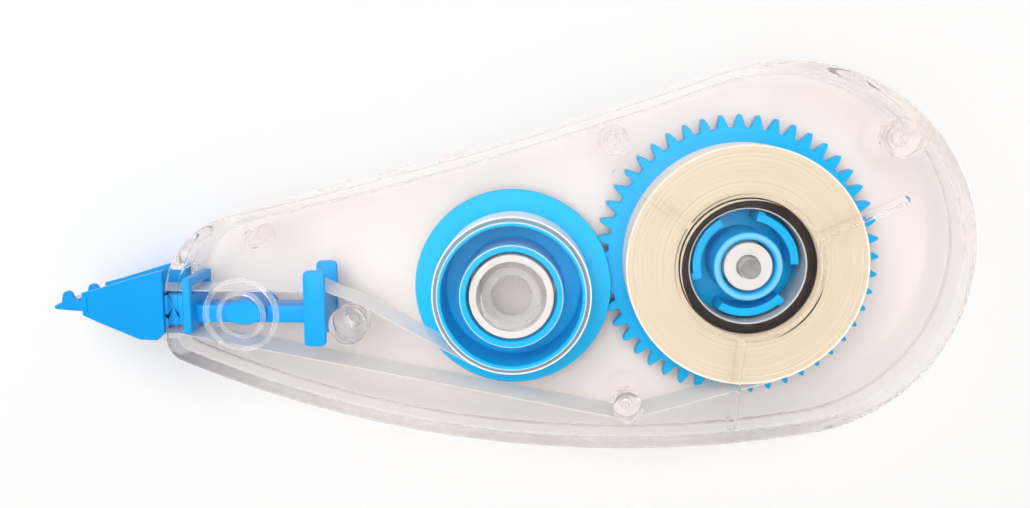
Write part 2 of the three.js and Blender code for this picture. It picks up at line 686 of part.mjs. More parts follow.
function applicatorHead() {
  const bladeZ0 = headMiddleZ - bladeWidth / 2;
  const bladeZ1 = headMiddleZ + bladeWidth / 2;
  const bladeRootX = tipStation.x + bladeRootOverlap;
  const blade = prism(polygon([
    { x: bladeTipX, y: bladeY - bladeTipThickness / 2 },
    { x: bladeRootX, y: bladeY - bladeRootThickness / 2 },
    { x: bladeRootX, y: Math.min(bladeY + bladeRootThickness / 2, tipStation.upperFloor) },
    { x: bladeTipX, y: bladeY + bladeTipThickness / 2 },
  ]), bladeZ0 - earThickness / 2, bladeZ1 + earThickness / 2);
  const ears = [ear(rearEarAbove, bladeZ0 - earThickness), ear(frontEarAbove, bladeZ1)];
  const channelled = wedge()
    .subtract(tapeChannel('upperFloor', 1))
    .subtract(tapeChannel('lowerFloor', -1))
    .subtract(baseChamfer());
  const collarX = noseX + sideWall + runningGap;
  const neck = block(
    shoulder.x - neckRootLength, collarX + collarLength / 2, bladeY - neckBelow, shoulder.upperFloor,
    headMiddleZ - neckDepth / 2, headMiddleZ + neckDepth / 2,
  );
  const collarHalfDepth = tapeWidth / 2 + collarMargin;
  const windowHalfDepth = tapeWidth / 2 + channelSideGap;
  const collarWindow = block(
    collarX - 1, collarX + collarLength + 1, shoulder.upperFloor, filmLevel + collarWindowGap,
    headMiddleZ - windowHalfDepth, headMiddleZ + windowHalfDepth,
  );
  const collar = block(
    collarX, collarX + collarLength, bladeY - collarBelow, bladeY + collarAbove,
    headMiddleZ - collarHalfDepth, headMiddleZ + collarHalfDepth,
  ).subtract(collarWindow);
  const stemY = bladeY - stemBelow;
  const stem = block(
    collarX + collarLength / 2, webX, stemY - stemHeight / 2, stemY + stemHeight / 2,
    headMiddleZ - stemDepth / 2, headMiddleZ + stemDepth / 2,
  );
  const hubOval = new THREE.Shape().absellipse(headBoss.x, headBoss.y, headHubHalfLength, headHubHalfHeight);
  const hub = prism(hubOval, tapeBottom - headHubMargin, tapeTop + headHubMargin);
  const pegHole = rod(headBoss, headPegRadius + runningGap, 0, headPegHeight + runningGap, 16);
  const plates = [forkPlateRear, forkPlateFront].map((z) => block(
    forkX - forkLength / 2, forkX + forkLength / 2, bladeY - forkBelow, bladeY + forkAbove,
    z, z + forkPlateThickness,
  ));
  const web = block(
    webX - forkWebLength / 2, webX + forkWebLength / 2, bladeY - forkWebBelow, bladeY + forkWebAbove,
    forkPlateRear, forkPlateFront + forkPlateThickness,
  );
  return joined(channelled, blade, ...ears, neck, collar, stem, hub, ...plates, web).subtract(pegHole);
}

// Tape: thin strips standing on edge along a path in the XY plane

function strip(path) {
  const half = filmThickness / 2;
  const left = [];
  const right = [];
  path.forEach((point, i) => {
    const before = path[Math.max(0, i - 1)];
    const after = path[Math.min(path.length - 1, i + 1)];
    const inward = new THREE.Vector2().subVectors(point, before).normalize();
    const outward = new THREE.Vector2().subVectors(after, point).normalize();
    const tangent = new THREE.Vector2().addVectors(inward, outward).normalize();
    const normal = new THREE.Vector2(-tangent.y, tangent.x);
    const stretch = i === 0 || i === path.length - 1 ? 1 : 1 / Math.max(0.5, tangent.dot(outward));
    left.push(point.clone().addScaledVector(normal, half * stretch));
    right.push(point.clone().addScaledVector(normal, -half * stretch));
  });
  return prism(polygon([...right, ...left.reverse()]), tapeBottom, tapeTop);
}

function channelPoint(floorName, outward, x) {
  return new THREE.Vector2(x, floorHeight(floorName, x) + outward * (seatGap + filmThickness / 2));
}

function bladePoint(outward, x) {
  const share = (x - bladeTipX) / (tipStation.x - bladeTipX);
  const halfThickness = THREE.MathUtils.lerp(bladeTipThickness, bladeRootThickness, share) / 2;
  return new THREE.Vector2(x, bladeY + outward * (halfThickness + seatGap + filmThickness / 2));
}

// From the roll, under the guide post, out below the neck and along the wedge to just before the blade tip
function supplyRun() {
  const rollTurn = rollRadius + filmOffset;
  const postTurn = guidePost.r + filmOffset;
  const [leave, meetPost] = tapeTangent(supplyAxis, rollTurn, guidePost, postTurn, 1);
  const exit = new THREE.Vector2(noseX + sideWall, slotBottom + slotMargin / 2);
  const [leavePost] = tapeTangent(guidePost, postTurn, exit, 0, 1);
  const wrapStart = directionTo(guidePost, meetPost);
  const wrap = arcPoints(guidePost, postTurn, wrapStart, directionTo(guidePost, leavePost), 5);
  return strip([
    leave,
    ...wrap,
    leavePost,
    exit,
    channelPoint('lowerFloor', -1, shoulder.x),
    channelPoint('lowerFloor', -1, heelStation.x),
    channelPoint('lowerFloor', -1, frontStation.x),
    channelPoint('lowerFloor', -1, tipStation.x),
    bladePoint(-1, bladeTipX + bladeTipThickness),
  ]);
}

// From the blade tip back along the wedge, through the collar, over the fork's web and down to the drum
function returnRun() {
  const overWeb = bladeY + forkWebAbove + filmOffset;
  const offFork = new THREE.Vector2(webX + forkWebLength / 2, overWeb);
  const [, meetDrum] = tapeTangent(offFork, 0, takeupAxis, wrapRadius + filmOffset, -1);
  return strip([
    bladePoint(1, bladeTipX + bladeTipThickness),
    bladePoint(1, tipStation.x - bladeRootThickness),
    channelPoint('upperFloor', 1, tipStation.x),
    channelPoint('upperFloor', 1, frontStation.x),
    channelPoint('upperFloor', 1, heelStation.x),
    channelPoint('upperFloor', 1, shoulder.x),
    new THREE.Vector2(forkX - forkLength / 2, filmLevel),
    new THREE.Vector2(webX - forkWebLength / 2, overWeb),
    offFork,
    meetDrum,
  ]);
}

// The assembly

const group = new THREE.Group();

function addPart(name, body, look) {
  const mesh = new THREE.Mesh(geometryOf(body), new THREE.MeshStandardMaterial(look));
  mesh.name = name;
  group.add(mesh);
}

addPart('case_rear', caseRear(), clearPlastic);
addPart('case_front', caseFront(), clearPlastic);
addPart('applicator_head', applicatorHead(), bluePlastic);
addPart('supply_gear', supplyGear(), bluePlastic);
addPart('supply_core', supplyCore(), blackPlastic);
addPart('tape_roll', tapeRoll(), coatedTape);
addPart('takeup_spool', takeupSpool(), bluePlastic);
addPart('takeup_wraps', takeupWraps(), usedFilm);
addPart('supply_tape_run', supplyRun(), coatedTape);
addPart('return_film_run', returnRun(), usedFilm);

export default group;
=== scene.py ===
# %% [markdown]
# # A correction tape in a clear case
#
# The real thing is a pocket tool: two clear moulded halves snap together round a geared supply reel, a geared
# take-up spool and a wedge shaped applicator head. We rebuild every piece as a surface that numpy works out,
# give each a procedural finish, and light it like the plain studio picture. All the sizes below are millimetres
# and go into the meshes as metres.

# %% Load the frame
import math

import bpy
import numpy as np
from mathutils import Matrix


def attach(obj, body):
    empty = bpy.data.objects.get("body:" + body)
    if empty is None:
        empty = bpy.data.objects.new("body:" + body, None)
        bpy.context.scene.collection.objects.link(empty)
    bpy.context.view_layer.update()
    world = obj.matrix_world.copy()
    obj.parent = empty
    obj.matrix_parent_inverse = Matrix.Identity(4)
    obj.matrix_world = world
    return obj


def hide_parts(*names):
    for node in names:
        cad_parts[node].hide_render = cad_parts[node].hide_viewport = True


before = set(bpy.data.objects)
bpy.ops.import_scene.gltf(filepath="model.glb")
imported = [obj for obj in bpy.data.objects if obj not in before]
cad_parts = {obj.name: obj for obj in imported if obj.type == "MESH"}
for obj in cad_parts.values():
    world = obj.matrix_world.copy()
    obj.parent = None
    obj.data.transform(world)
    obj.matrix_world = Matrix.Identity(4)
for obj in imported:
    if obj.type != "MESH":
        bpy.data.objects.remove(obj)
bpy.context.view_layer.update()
MM = 0.001
print("nodes:", sorted(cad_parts))

# %% [markdown]
# ## Surfaces from grids
#
# A moulded piece is one closed skin. It could be carved out of cubes and cylinders, but a grid of points says
# more with less: each row is a ring that closes on itself, and the rows follow a section. Where the section also
# closes, as in a washer, the grid is a torus. Otherwise both end rings get a cap, either a fan of triangles round
# their middle or a ladder of quads between their two long sides, which suits bent and channelled ends.

# %% Grid helpers
def closed_grid(rings, torus=False, cap="fan"):
    """Skin over rings[row, column]: cell (i, j) joins rows i and i + 1 with columns j and j + 1, columns wrap.

    Its signed volume, the sum of p0 . (p1 x p2) / 6 over its triangles, tells whether it must be turned
    inside out to face outwards.
    """
    rows, columns = rings.shape[:2]
    points = rings.reshape(-1, 3)
    row = np.arange(rows if torus else rows - 1)[:, None] * columns
    above = (row + columns) % (rows * columns)
    here = np.arange(columns)[None, :]
    after = (here + 1) % columns
    cells = (row + here, row + after, above + after, above + here)
    quads = np.stack(cells, axis=-1).reshape(-1, 4)
    triangles = np.empty((0, 3), int)
    if not torus:
        first = np.arange(columns)
        last = first + (rows - 1) * columns
        if cap == "fan":
            points = np.vstack([points, rings[0].mean(axis=0), rings[-1].mean(axis=0)])
            low = np.full(columns, rows * columns)
            triangles = np.vstack([
                np.stack([np.roll(first, -1), first, low], axis=1),
                np.stack([last, np.roll(last, -1), low + 1], axis=1),
            ])
        else:
            step = np.arange(columns // 2 - 1)
            mirror = columns - 1 - step
            quads = np.vstack([
                quads,
                np.stack([first[step + 1], first[step], first[mirror], first[mirror - 1]], axis=1),
                np.stack([last[step], last[step + 1], last[mirror - 1], last[mirror]], axis=1),
            ])
    corners = np.vstack([quads[:, [0, 1, 2]], quads[:, [0, 2, 3]], triangles])
    a, b, c = (points[corners[:, k]] for k in range(3))
    volume = np.einsum("ij,ij->", a, np.cross(b, c)) / 6
    if volume < 0:
        quads, triangles = quads[:, ::-1], triangles[:, ::-1]
    return points, quads, triangles


ease_steps = 3


def eased(corners, ease, loop=True):
    """The same line with each corner swapped for a short parabola of ease_steps steps.

    Point t of a corner is (1-t)^2 A + 2t(1-t) C + t^2 B: C is the corner, and A and B lie on its two sides at
    the distance ease from it, but never past 0.45 of a side.
    """
    corners = np.asarray(corners, float)
    before = np.roll(corners, 1, axis=0) - corners
    after = np.roll(corners, -1, axis=0) - corners
    to_before = np.linalg.norm(before, axis=1, keepdims=True)
    to_after = np.linalg.norm(after, axis=1, keepdims=True)
    a = corners + before / to_before * np.minimum(ease, 0.45 * to_before)
    b = corners + after / to_after * np.minimum(ease, 0.45 * to_after)
    if not loop:
        a[0], b[0], a[-1], b[-1] = corners[0], corners[0], corners[-1], corners[-1]
    t = np.linspace(0, 1, ease_steps + 1)
    weights = np.stack([(1 - t) ** 2, 2 * t * (1 - t), t ** 2])
    line = np.einsum("ks,nkd->nsd", weights, np.stack([a, corners, b], axis=1)).reshape(-1, corners.shape[1])
    return line if loop else line[ease_steps:len(line) - ease_steps]


def normals_of(outline):
    """Unit normals of a closed anticlockwise outline: the chord from the last point to the next, turned right."""
    chord = np.roll(outline, -1, axis=0) - np.roll(outline, 1, axis=0)
    normal = np.stack([chord[:, 1], -chord[:, 0]], axis=1)
    return normal / np.linalg.norm(normal, axis=1, keepdims=True)


def level(flat, z):
    """A flat ring of (x, y) points lifted to the height z."""
    return np.column_stack([flat, np.full(len(flat), z)])


def circle(centre, radius, angles):
    """Points at centre + radius (cos angle, sin angle)."""
    return np.stack([centre[0] + radius * np.cos(angles), centre[1] + radius * np.sin(angles)], axis=1)


def heading(angle):
    """The unit vector (cos angle, sin angle)."""
    return np.array([math.cos(angle), math.sin(angle)])


def turns(count):
    """That many angles, evenly spaced over one turn."""
    return np.linspace(0, 2 * math.pi, count, endpoint=False)


def slab(outline, z0, z1, ease=0.15, cap="fan"):
    """A flat outline raised from z0 to z1 with rounded rims.

    Row angle a of a rim is drawn in by ease (1 - sin a) and lies ease (1 - cos a) from the face.
    """
    normal = normals_of(outline)
    a = np.radians([0, 30, 60, 90])
    inset, rise = ease * (1 - np.sin(a)), ease * (1 - np.cos(a))
    rows = [level(outline - d * normal, z0 + h) for d, h in zip(inset, rise)]
    rows += [level(outline - d * normal, z1 - h) for d, h in zip(inset[::-1], rise[::-1])]
    return closed_grid(np.stack(rows), cap=cap)


def brick(x0, x1, y0, y1, z0, z1, corner=0.25, ease=0.15):
    """A box with rounded upright corners and rims."""
    return slab(eased([(x0, y0), (x1, y0), (x1, y1), (x0, y1)], corner), z0, z1, ease)


def lathe(centre, profile, ease=0.12, torus=False, steps=64):
    """A profile of (radius, height) corners, eased and turned about an upright axis."""
    line = eased(profile, ease, loop=torus)
    angles = turns(steps)
    return closed_grid(np.stack([level(circle(centre, r, angles), z) for r, z in line]), torus=torus)


def washer(centre, inner, outer, z0, z1, ease=0.12, steps=64):
    """A plain ring: a rectangle turned about an upright axis."""
    return lathe(centre, [(inner, z0), (outer, z0), (outer, z1), (inner, z1)], ease, torus=True, steps=steps)


def pin(centre, radius, z0, z1, ease=0.12, steps=48):
    """A solid rod: its side turned about an upright axis, and a fan at each end."""
    return lathe(centre, [(radius - ease, z0), (radius, z0), (radius, z1), (radius - ease, z1)], ease, steps=steps)


# %% [markdown]
# ## From grids to pieces
#
# Several skins can make one piece: the mesh simply holds them all. Where they belong to one moulding of clear
# plastic that is not enough, because light would bend at every hidden face inside. There a boolean union welds
# the skins, and a boolean difference cuts what has to be open. Every finished piece rides on the body that
# carries it, says which finish it has, and takes the place of its plain CAD node.

# %% Mesh helpers
def object_of(name, parts):
    """One object whose mesh holds every (points, quads, triangles) of parts, linked to the scene."""
    counts = np.cumsum([0] + [len(points) for points, _, _ in parts])
    faces = []
    for start, (_, quads, triangles) in zip(counts, parts):
        faces += (quads + start).tolist() + (triangles + start).tolist()
    mesh = bpy.data.meshes.new(name)
    mesh.from_pydata((np.vstack([points for points, _, _ in parts]) * MM).tolist(), [], faces)
    thing = bpy.data.objects.new(name, mesh)
    bpy.context.scene.collection.objects.link(thing)
    return thing


def welded(name, base, joins, cuts):
    """base with each group of joins added and each of cuts taken away, as one skin."""
    thing = object_of(name, base)
    helpers = []
    for operation, groups in (("UNION", joins), ("DIFFERENCE", cuts)):
        for group in groups:
            helper = object_of(name + "_tool", group)
            helpers.append(helper)
            step = thing.modifiers.new(operation, "BOOLEAN")
            step.operation = operation
            step.solver = "MANIFOLD"
            step.object = helper
    bpy.context.view_layer.update()
    result = bpy.data.meshes.new_from_object(thing.evaluated_get(bpy.context.evaluated_depsgraph_get()))
    thing.modifiers.clear()
    thing.data = result
    for helper in helpers:
        bpy.data.objects.remove(helper)
    return thing


crease = math.radians(32)


def finish_piece(thing, body, node, material):
    """Smooth shading but for edges sharper than crease, the finish, and the piece's place in the frame."""
    thing.data.shade_smooth()
    thing.data.set_sharp_from_angle(angle=crease)
    thing.data.materials.clear()
    thing.data.materials.append(material)
    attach(thing, body)
    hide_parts(node)
    points = np.array([vertex.co for vertex in thing.data.vertices]) / MM
    low, high = points.min(axis=0).round(2), points.max(axis=0).round(2)
    print(thing.name, len(thing.data.polygons), "faces, from", low, "to", high)


# %% [markdown]
# ## The sizes that the pieces share
#
# The frame already fixes every size, so we repeat the few numbers that drive it and work out the rest. Heights
# run from the rear face, which lies on the table, up to the front face. The tape is 5 mm wide and everything
# stands around it: gears below, guard ribs above, and a flat wall on each side.

# %% Levels and axes
face_wall = 1.2
side_wall = 1.0
running_gap = 0.3
seat_gap = 0.2
tape_width = 5.0
parting = 6.0

gear_thickness = 1.4
land_height = 0.9
plate_thickness = 0.7
guard_depth = 1.7

gear_bottom = face_wall + running_gap
gear_top = gear_bottom + gear_thickness
land_top = gear_top + land_height
flange_bottom = gear_top + running_gap
flange_top = flange_bottom + plate_thickness
tape_bottom = flange_top + seat_gap
tape_top = tape_bottom + tape_width
head_middle = (tape_bottom + tape_top) / 2
guard_bottom = tape_top + running_gap
front_inner = tape_top + guard_depth
thickness = front_inner + face_wall

gear_module = 0.57
supply_teeth = 48
takeup_teeth = 32
supply_axis = np.array([23.25, -0.9])
mesh_angle = math.radians(187.7)
axis_distance = gear_module * (supply_teeth + takeup_teeth) / 2
takeup_axis = supply_axis + axis_distance * heading(mesh_angle)
print("thickness", thickness, "take-up axis", takeup_axis.round(3))

# %% [markdown]
# ## Finishes
#
# Everything here is injection moulded plastic or film, and each finish is a small tree of shader nodes. A few
# helpers keep those trees short: they fill a node's inputs, add a node, and start a group of nodes.

# %% Node helpers
def fill(tree, node, inputs):
    """Link each named input to a socket, or set it to a number, vector or colour."""
    for name, value in inputs.items():
        socket = node.inputs[name]
        if hasattr(value, "links"):
            tree.links.new(value, socket)
        else:
            socket.default_value = (*value, 1) if socket.type == "RGBA" else value
    return node


def add_node(tree, kind, inputs, **properties):
    """A shader node of that kind, with its properties set and then its inputs filled."""
    node = tree.nodes.new("ShaderNode" + kind)
    for name, value in properties.items():
        setattr(node, name, value)
    return fill(tree, node, inputs)


def node_group(name, inputs, outputs):
    """An empty shader group with a Vector, those numbers as inputs and those outputs; and its two ends."""
    tree = bpy.data.node_groups.new(name, "ShaderNodeTree")
    tree.interface.new_socket(name="Vector", in_out="INPUT", socket_type="NodeSocketVector")
    for socket, value in inputs.items():
        tree.interface.new_socket(name=socket, in_out="INPUT", socket_type="NodeSocketFloat").default_value = value
    for socket in outputs:
        tree.interface.new_socket(name=socket, in_out="OUTPUT", socket_type="NodeSocketFloat")
    return tree, tree.nodes.new("NodeGroupInput").outputs, tree.nodes.new("NodeGroupOutput")


def math_node(tree, operation, first, second):
    """first (operation) second, where each is a socket or a number; gives the result's socket."""
    return add_node(tree, "Math", {0: first, 1: second}, operation=operation).outputs[0]


def noise_node(tree, vector, scale, detail=3.0):
    """Noise over that vector; the scale is a socket or a number."""
    return add_node(tree, "TexNoise", {"Vector": vector, "Scale": scale, "Detail": detail}).outputs["Fac"]


# %% [markdown]
# Moulded skin is never quite flat or evenly glossy: it has faint swells and a fine grain from the mould. That is
# one effect for several materials, so it is a node group, whose inputs say how close the swells lie, how much
# grain rides on them, and how rough and uneven the gloss is. It gives a height for a Bump node and a roughness.

# %% The moulded skin group
grain_fineness = 22.0
skin_group, given, result = node_group(
    "moulded_skin", {"Swells": 120.0, "Grain": 0.1, "Roughness": 0.3, "Unevenness": 0.06}, ("Height", "Roughness"))
swell = noise_node(skin_group, given["Vector"], given["Swells"])
grain_scale = math_node(skin_group, "MULTIPLY", given["Swells"], grain_fineness)
grain = noise_node(skin_group, given["Vector"], grain_scale, detail=2.0)
grain_height = math_node(skin_group, "MULTIPLY", grain, given["Grain"])
spread = math_node(skin_group, "MULTIPLY", math_node(skin_group, "SUBTRACT", swell, 0.5), given["Unevenness"])
fill(skin_group, result, {"Height": math_node(skin_group, "ADD", swell, grain_height),
                          "Roughness": math_node(skin_group, "ADD", spread, given["Roughness"])})
print("group", skin_group.name)

# %% [markdown]
# The side of a wound roll shows its turns as fine rings, some a little darker where the layers don't lie quite
# flush. A noise along one axis does that, read at the distance from the reel's centre. It serves the cream
# coated tape and the used film alike.

# %% The winding group
def radius_node(tree, vector):
    """sqrt(x^2 + y^2), the distance from the upright axis through the vector's origin."""
    split = add_node(tree, "SeparateXYZ", {0: vector})
    squares = [math_node(tree, "MULTIPLY", split.outputs[axis], split.outputs[axis]) for axis in ("X", "Y")]
    return math_node(tree, "SQRT", math_node(tree, "ADD", *squares), 0.0)


winding_group, given, result = node_group("winding_lines", {"Turns per metre": 5000.0}, ("Shade", "Broad"))
turn_number = math_node(
    winding_group, "MULTIPLY", radius_node(winding_group, given["Vector"]), given["Turns per metre"])
for output, share in (("Shade", 1.0), ("Broad", 0.12)):
    line = add_node(winding_group, "TexNoise", {
        "W": math_node(winding_group, "MULTIPLY", turn_number, share), "Scale": 1.0, "Detail": 2.0},
        noise_dimensions="1D")
    fill(winding_group, result, {output: line.outputs["Fac"]})
print("group", winding_group.name)

# %% [markdown]
# Some fine rings catch the light all round: the core's inner rim, the tops of the hubs and the drum, the last turn
# of a roll. Their highlights are painted: a mask finds them by their distance from the axis, and each material
# mixes its own pale colour in there. Counted in half widths from the ring, the mask is 1 up to 0.5 and falls to 0
# at 1.5.

# %% The painted highlight ring group
highlight_ring_group, given, result = node_group("painted_highlight_ring", {"Radius": 0.005, "Half width": 0.0001}, ("Mask",))
off_ring = math_node(highlight_ring_group, "ABSOLUTE", math_node(
    highlight_ring_group, "SUBTRACT", radius_node(highlight_ring_group, given["Vector"]), given["Radius"]), 0.0)
fall = math_node(highlight_ring_group, "SUBTRACT", 1.5, math_node(highlight_ring_group, "DIVIDE", off_ring, given["Half width"]))
mask = math_node(highlight_ring_group, "MINIMUM", math_node(highlight_ring_group, "MAXIMUM", fall, 0.0), 1.0)
fill(highlight_ring_group, result, {"Mask": mask})
print("group", highlight_ring_group.name)

# %% [markdown]
# Each material starts from the same few nodes: the object's own coordinates, a Principled shader, and the
# moulded skin feeding its roughness and its bump. What differs is set in each.

# %% Material helpers
def start_material(name, colour, swells, roughness, unevenness=0.06, grain=0.1, depth=0.02):
    """A Principled material whose bump and roughness come from the moulded skin group. depth is millimetres."""
    material = bpy.data.materials.new(name)
    material.use_nodes = True
    tree = material.node_tree
    place = add_node(tree, "TexCoord", {}).outputs["Object"]
    skin = add_node(tree, "Group", {"Vector": place, "Swells": swells, "Roughness": roughness,
                                    "Unevenness": unevenness, "Grain": grain}, node_tree=skin_group)
    bump = add_node(tree, "Bump", {"Distance": depth * MM, "Height": skin.outputs["Height"]})
    shader = fill(tree, tree.nodes["Principled BSDF"], {
        "Base Color": colour, "Roughness": skin.outputs["Roughness"], "Normal": bump.outputs["Normal"]})
    return material, tree, shader, place, bump


def mixed_colour(tree, factor, dark, light):
    """A colour between dark and light, by a factor socket. dark may be the socket of another mixture."""
    return add_node(tree, "Mix", {"Factor": factor, "A": dark, "B": light}, data_type="RGBA").outputs["Result"]


def about(tree, place, centre):
    """Object coordinates counted from an upright axis at centre, which is in millimetres."""
    shift = (-centre[0] * MM, -centre[1] * MM, 0)
    return add_node(tree, "Mapping", {"Location": shift, "Vector": place}).outputs["Vector"]


def highlight_ring_mask(tree, vector, radius, half_width, strength):
    """The mask of a painted highlight: strength on the ring at that radius, both in millimetres, and 0 away from it.
    """
    ring = add_node(tree, "Group", {"Vector": vector, "Radius": radius * MM, "Half width": half_width * MM},
                    node_tree=highlight_ring_group)
    return math_node(tree, "MULTIPLY", ring.outputs["Mask"], strength)


# %% [markdown]
# ### Clear plastic
#
# The case is clear styrene with a faint warm cast. Its faces look almost colourless and its walls, seen on edge,
# look grey and pinkish. A ray crosses two surfaces in a face and many in a wall, so a little tint at each
# crossing gives both. Absorption inside the plastic would be truer, but it allows one finish for a whole shell.
# True glass also throws dark shadows in a path tracer, while a thin case lets the lamp through. So rays that go
# to a lamp pass a plain Transparent shader instead. The peg and the spindle look milkier, with a share of
# scattered light, and the thin rings on the front half a little hazy, so they get versions of their own.

# %% Clear plastic
def clear_material(name, tint, roughness, clearness):
    """Transmitting plastic, tinted a little at each crossing, that lets lamp rays straight through.

    Light bends in it like in n = 1.06, so that the walls stay open, and a thin clear coat gives the gloss.
    clearness is the share that is transmitted; the rest is scattered back white.
    """
    material, tree, shader, _, _ = start_material(
        name, tint, swells=60, roughness=roughness, unevenness=0.02, grain=0.02, depth=0.012)
    fill(tree, shader, {"Transmission Weight": clearness, "IOR": 1.06, "Coat Weight": 0.14, "Coat Roughness": 0.05})
    open_way = add_node(tree, "BsdfTransparent", {"Color": (0.878, 0.862, 0.855)})
    path = add_node(tree, "LightPath", {})
    choice = add_node(tree, "MixShader", {
        "Fac": path.outputs["Is Shadow Ray"], 1: shader.outputs["BSDF"], 2: open_way.outputs["BSDF"]})
    fill(tree, tree.nodes["Material Output"], {"Surface": choice.outputs["Shader"]})
    return material


clear_plastic = clear_material("clear_plastic", (0.950, 0.926, 0.915), roughness=0.03, clearness=1.0)
milky_plastic = clear_material("milky_plastic", (0.985, 0.975, 0.965), roughness=0.12, clearness=0.35)
hazy_plastic = clear_material("hazy_plastic", (0.975, 0.965, 0.955), roughness=0.05, clearness=0.82)
print("materials", clear_plastic.name, milky_plastic.name, hazy_plastic.name)

# %% [markdown]
# ### Blue and black plastic
#
# The wheels and the head are bright opaque blue, coloured right through, with a satin skin. The wheels are a
# little nearer to cyan. A slow noise moves the blue, as pigment does in a thick and a thin section. The core is
# nearly black, and a touch warm where light grazes it. Fine pale rings on the wheels and on the core's inner rim
# are painted highlights.

# %% Coloured plastics
def coloured_plastic(name, dark, light, centre=(0, 0), rings=(), swells=180, roughness=0.34):
    """Opaque moulded plastic whose pigment drifts between two close colours.

    Each of rings is (radius, half width, strength, colour): a painted highlight, a fine pale ring about centre.
    """
    material, tree, shader, place, _ = start_material(name, light, swells, roughness)
    colour = mixed_colour(tree, noise_node(tree, place, swells * 0.5), dark, light)
    # each ring mixes in a painted highlight of its pale colour
    for radius, half_width, strength, highlight_colour in rings:
        mask = highlight_ring_mask(tree, about(tree, place, centre), radius, half_width, strength)
        colour = mixed_colour(tree, mask, colour, highlight_colour)
    fill(tree, shader, {"Base Color": colour, "IOR": 1.5, "Specular IOR Level": 0.25})
    return material


head_blue = coloured_plastic("head_blue", (0.0, 0.35, 0.88), (0.0, 0.41, 0.96))
# painted highlights on the top of the drum, at 7.22 mm, and of the hub, at 5 mm
spool_blue = coloured_plastic("spool_blue", (0.0, 0.44, 0.86), (0.0, 0.51, 0.93), takeup_axis, [
    (7.22, 0.06, 0.8, (0.75, 0.90, 0.98)), (5.0, 0.05, 0.8, (0.75, 0.90, 0.98))])
# a painted highlight on the top of the gear's hub
gear_blue = coloured_plastic("gear_blue", (0.0, 0.41, 0.83), (0.0, 0.48, 0.92), supply_axis, [
    (3.0, 0.18, 0.45, (0.45, 0.70, 0.90))])
# a painted highlight on the core's inner rim, at 5.55 mm
black_plastic = coloured_plastic("black_plastic", (0.010, 0.007, 0.006), (0.026, 0.018, 0.015), supply_axis, [
    (5.55, 0.07, 0.85, (0.80, 0.80, 0.78))], swells=220, roughness=0.28)
print("materials", head_blue.name, spool_blue.name, gear_blue.name, black_plastic.name)

# %% [markdown]
# ### Tape
#
# New tape is film with a cream coating, and what we see of the roll is the edges of hundreds of turns, with a
# painted highlight on the outermost. The last turn of the used film wraps gets a painted highlight too. Used film
# has lost its coating, and is thin and milky. A share of alpha stands for how much it lets through.

# %% Tape and film
def wound_material(name, centre, dark, light, roughness, alpha, rim, rim_highlight_colour):
    """A roll's side about that centre, ringed by the winding group, with a painted highlight on its last turn at rim.
    """
    material, tree, shader, place, bump = start_material(name, light, 300, roughness, depth=0.01)
    vector = about(tree, place, centre)
    winding = add_node(tree, "Group", {"Vector": vector}, node_tree=winding_group).outputs
    shade = math_node(tree, "ADD", math_node(tree, "MULTIPLY", winding["Shade"], 0.45),
                      math_node(tree, "MULTIPLY", winding["Broad"], 0.55))
    # edge masks the painted highlight on the last turn, which is also made opaque there
    edge = highlight_ring_mask(tree, vector, rim, 0.1, 1.0)
    fill(tree, bump, {"Height": winding["Shade"]})
    fill(tree, shader, {
        "Base Color": mixed_colour(tree, edge, mixed_colour(tree, shade, dark, light), rim_highlight_colour),
        "Alpha": math_node(tree, "ADD", math_node(tree, "MULTIPLY", edge, 1 - alpha), alpha)})
    return material


def strip_material(name, colour, roughness):
    """A free stretch of tape, which lets half the light through."""
    material, tree, shader, _, _ = start_material(name, colour, 300, roughness, depth=0.01)
    fill(tree, shader, {"Alpha": 0.5})
    return material


# the roll's pale rim colour is a painted highlight on its outermost turn
roll_side = wound_material(
    "roll_side", supply_axis, (0.62, 0.55, 0.41), (0.77, 0.68, 0.53), 0.5, 1.0, 11.55, (0.90, 0.85, 0.75))
# the wraps' pale rim colour is a painted highlight on their outer edge
wrap_side = wound_material(
    "wrap_side", takeup_axis, (0.55, 0.74, 0.88), (0.70, 0.84, 0.93), 0.35, 0.35, 7.72, (0.90, 0.94, 0.96))
coated_tape = strip_material("coated_tape", (0.97, 0.96, 0.93), 0.45)
used_film = strip_material("used_film", (0.93, 0.94, 0.95), 0.22)
print("materials", roll_side.name, wrap_side.name, coated_tape.name, used_film.name)

# %% [markdown]
# ## The case outline
#
# Seen from the front the case is a teardrop: a big round end over the supply reel, a long flat curve below, a
# nearly straight brow above, and two small corners at the flat nose. Five tangent arcs draw it. Because they are
# arcs, drawing the outline in by a wall's thickness only moves each point along its normal.

# %% The five arcs
nose_x = -32.4
nose_top = np.array([nose_x + 8.3, -4.1])
nose_top_radius = 8.3
nose_bottom = np.array([nose_x + 2.4, -7.8])
nose_bottom_radius = 2.4
belly_radius = 106.7
brow_radius = 390.0
big_end = np.array([26.25, 0.7])
addendum = 1.05
gear_wall_gap = 0.82
big_radius = big_end[1] - supply_axis[1] + gear_module * (supply_teeth / 2 + addendum) + gear_wall_gap + side_wall


def direction(start, end):
    """The angle of the line from start to end."""
    return math.atan2(end[1] - start[1], end[0] - start[0])


def meeting_point(first, a, second, b, side):
    """The point at the distances a from first and b from second, by the law of cosines, on one side of their line."""
    span = np.linalg.norm(second - first)
    angle = direction(first, second) + side * math.acos((a * a + span * span - b * b) / (2 * a * span))
    return first + a * heading(angle)


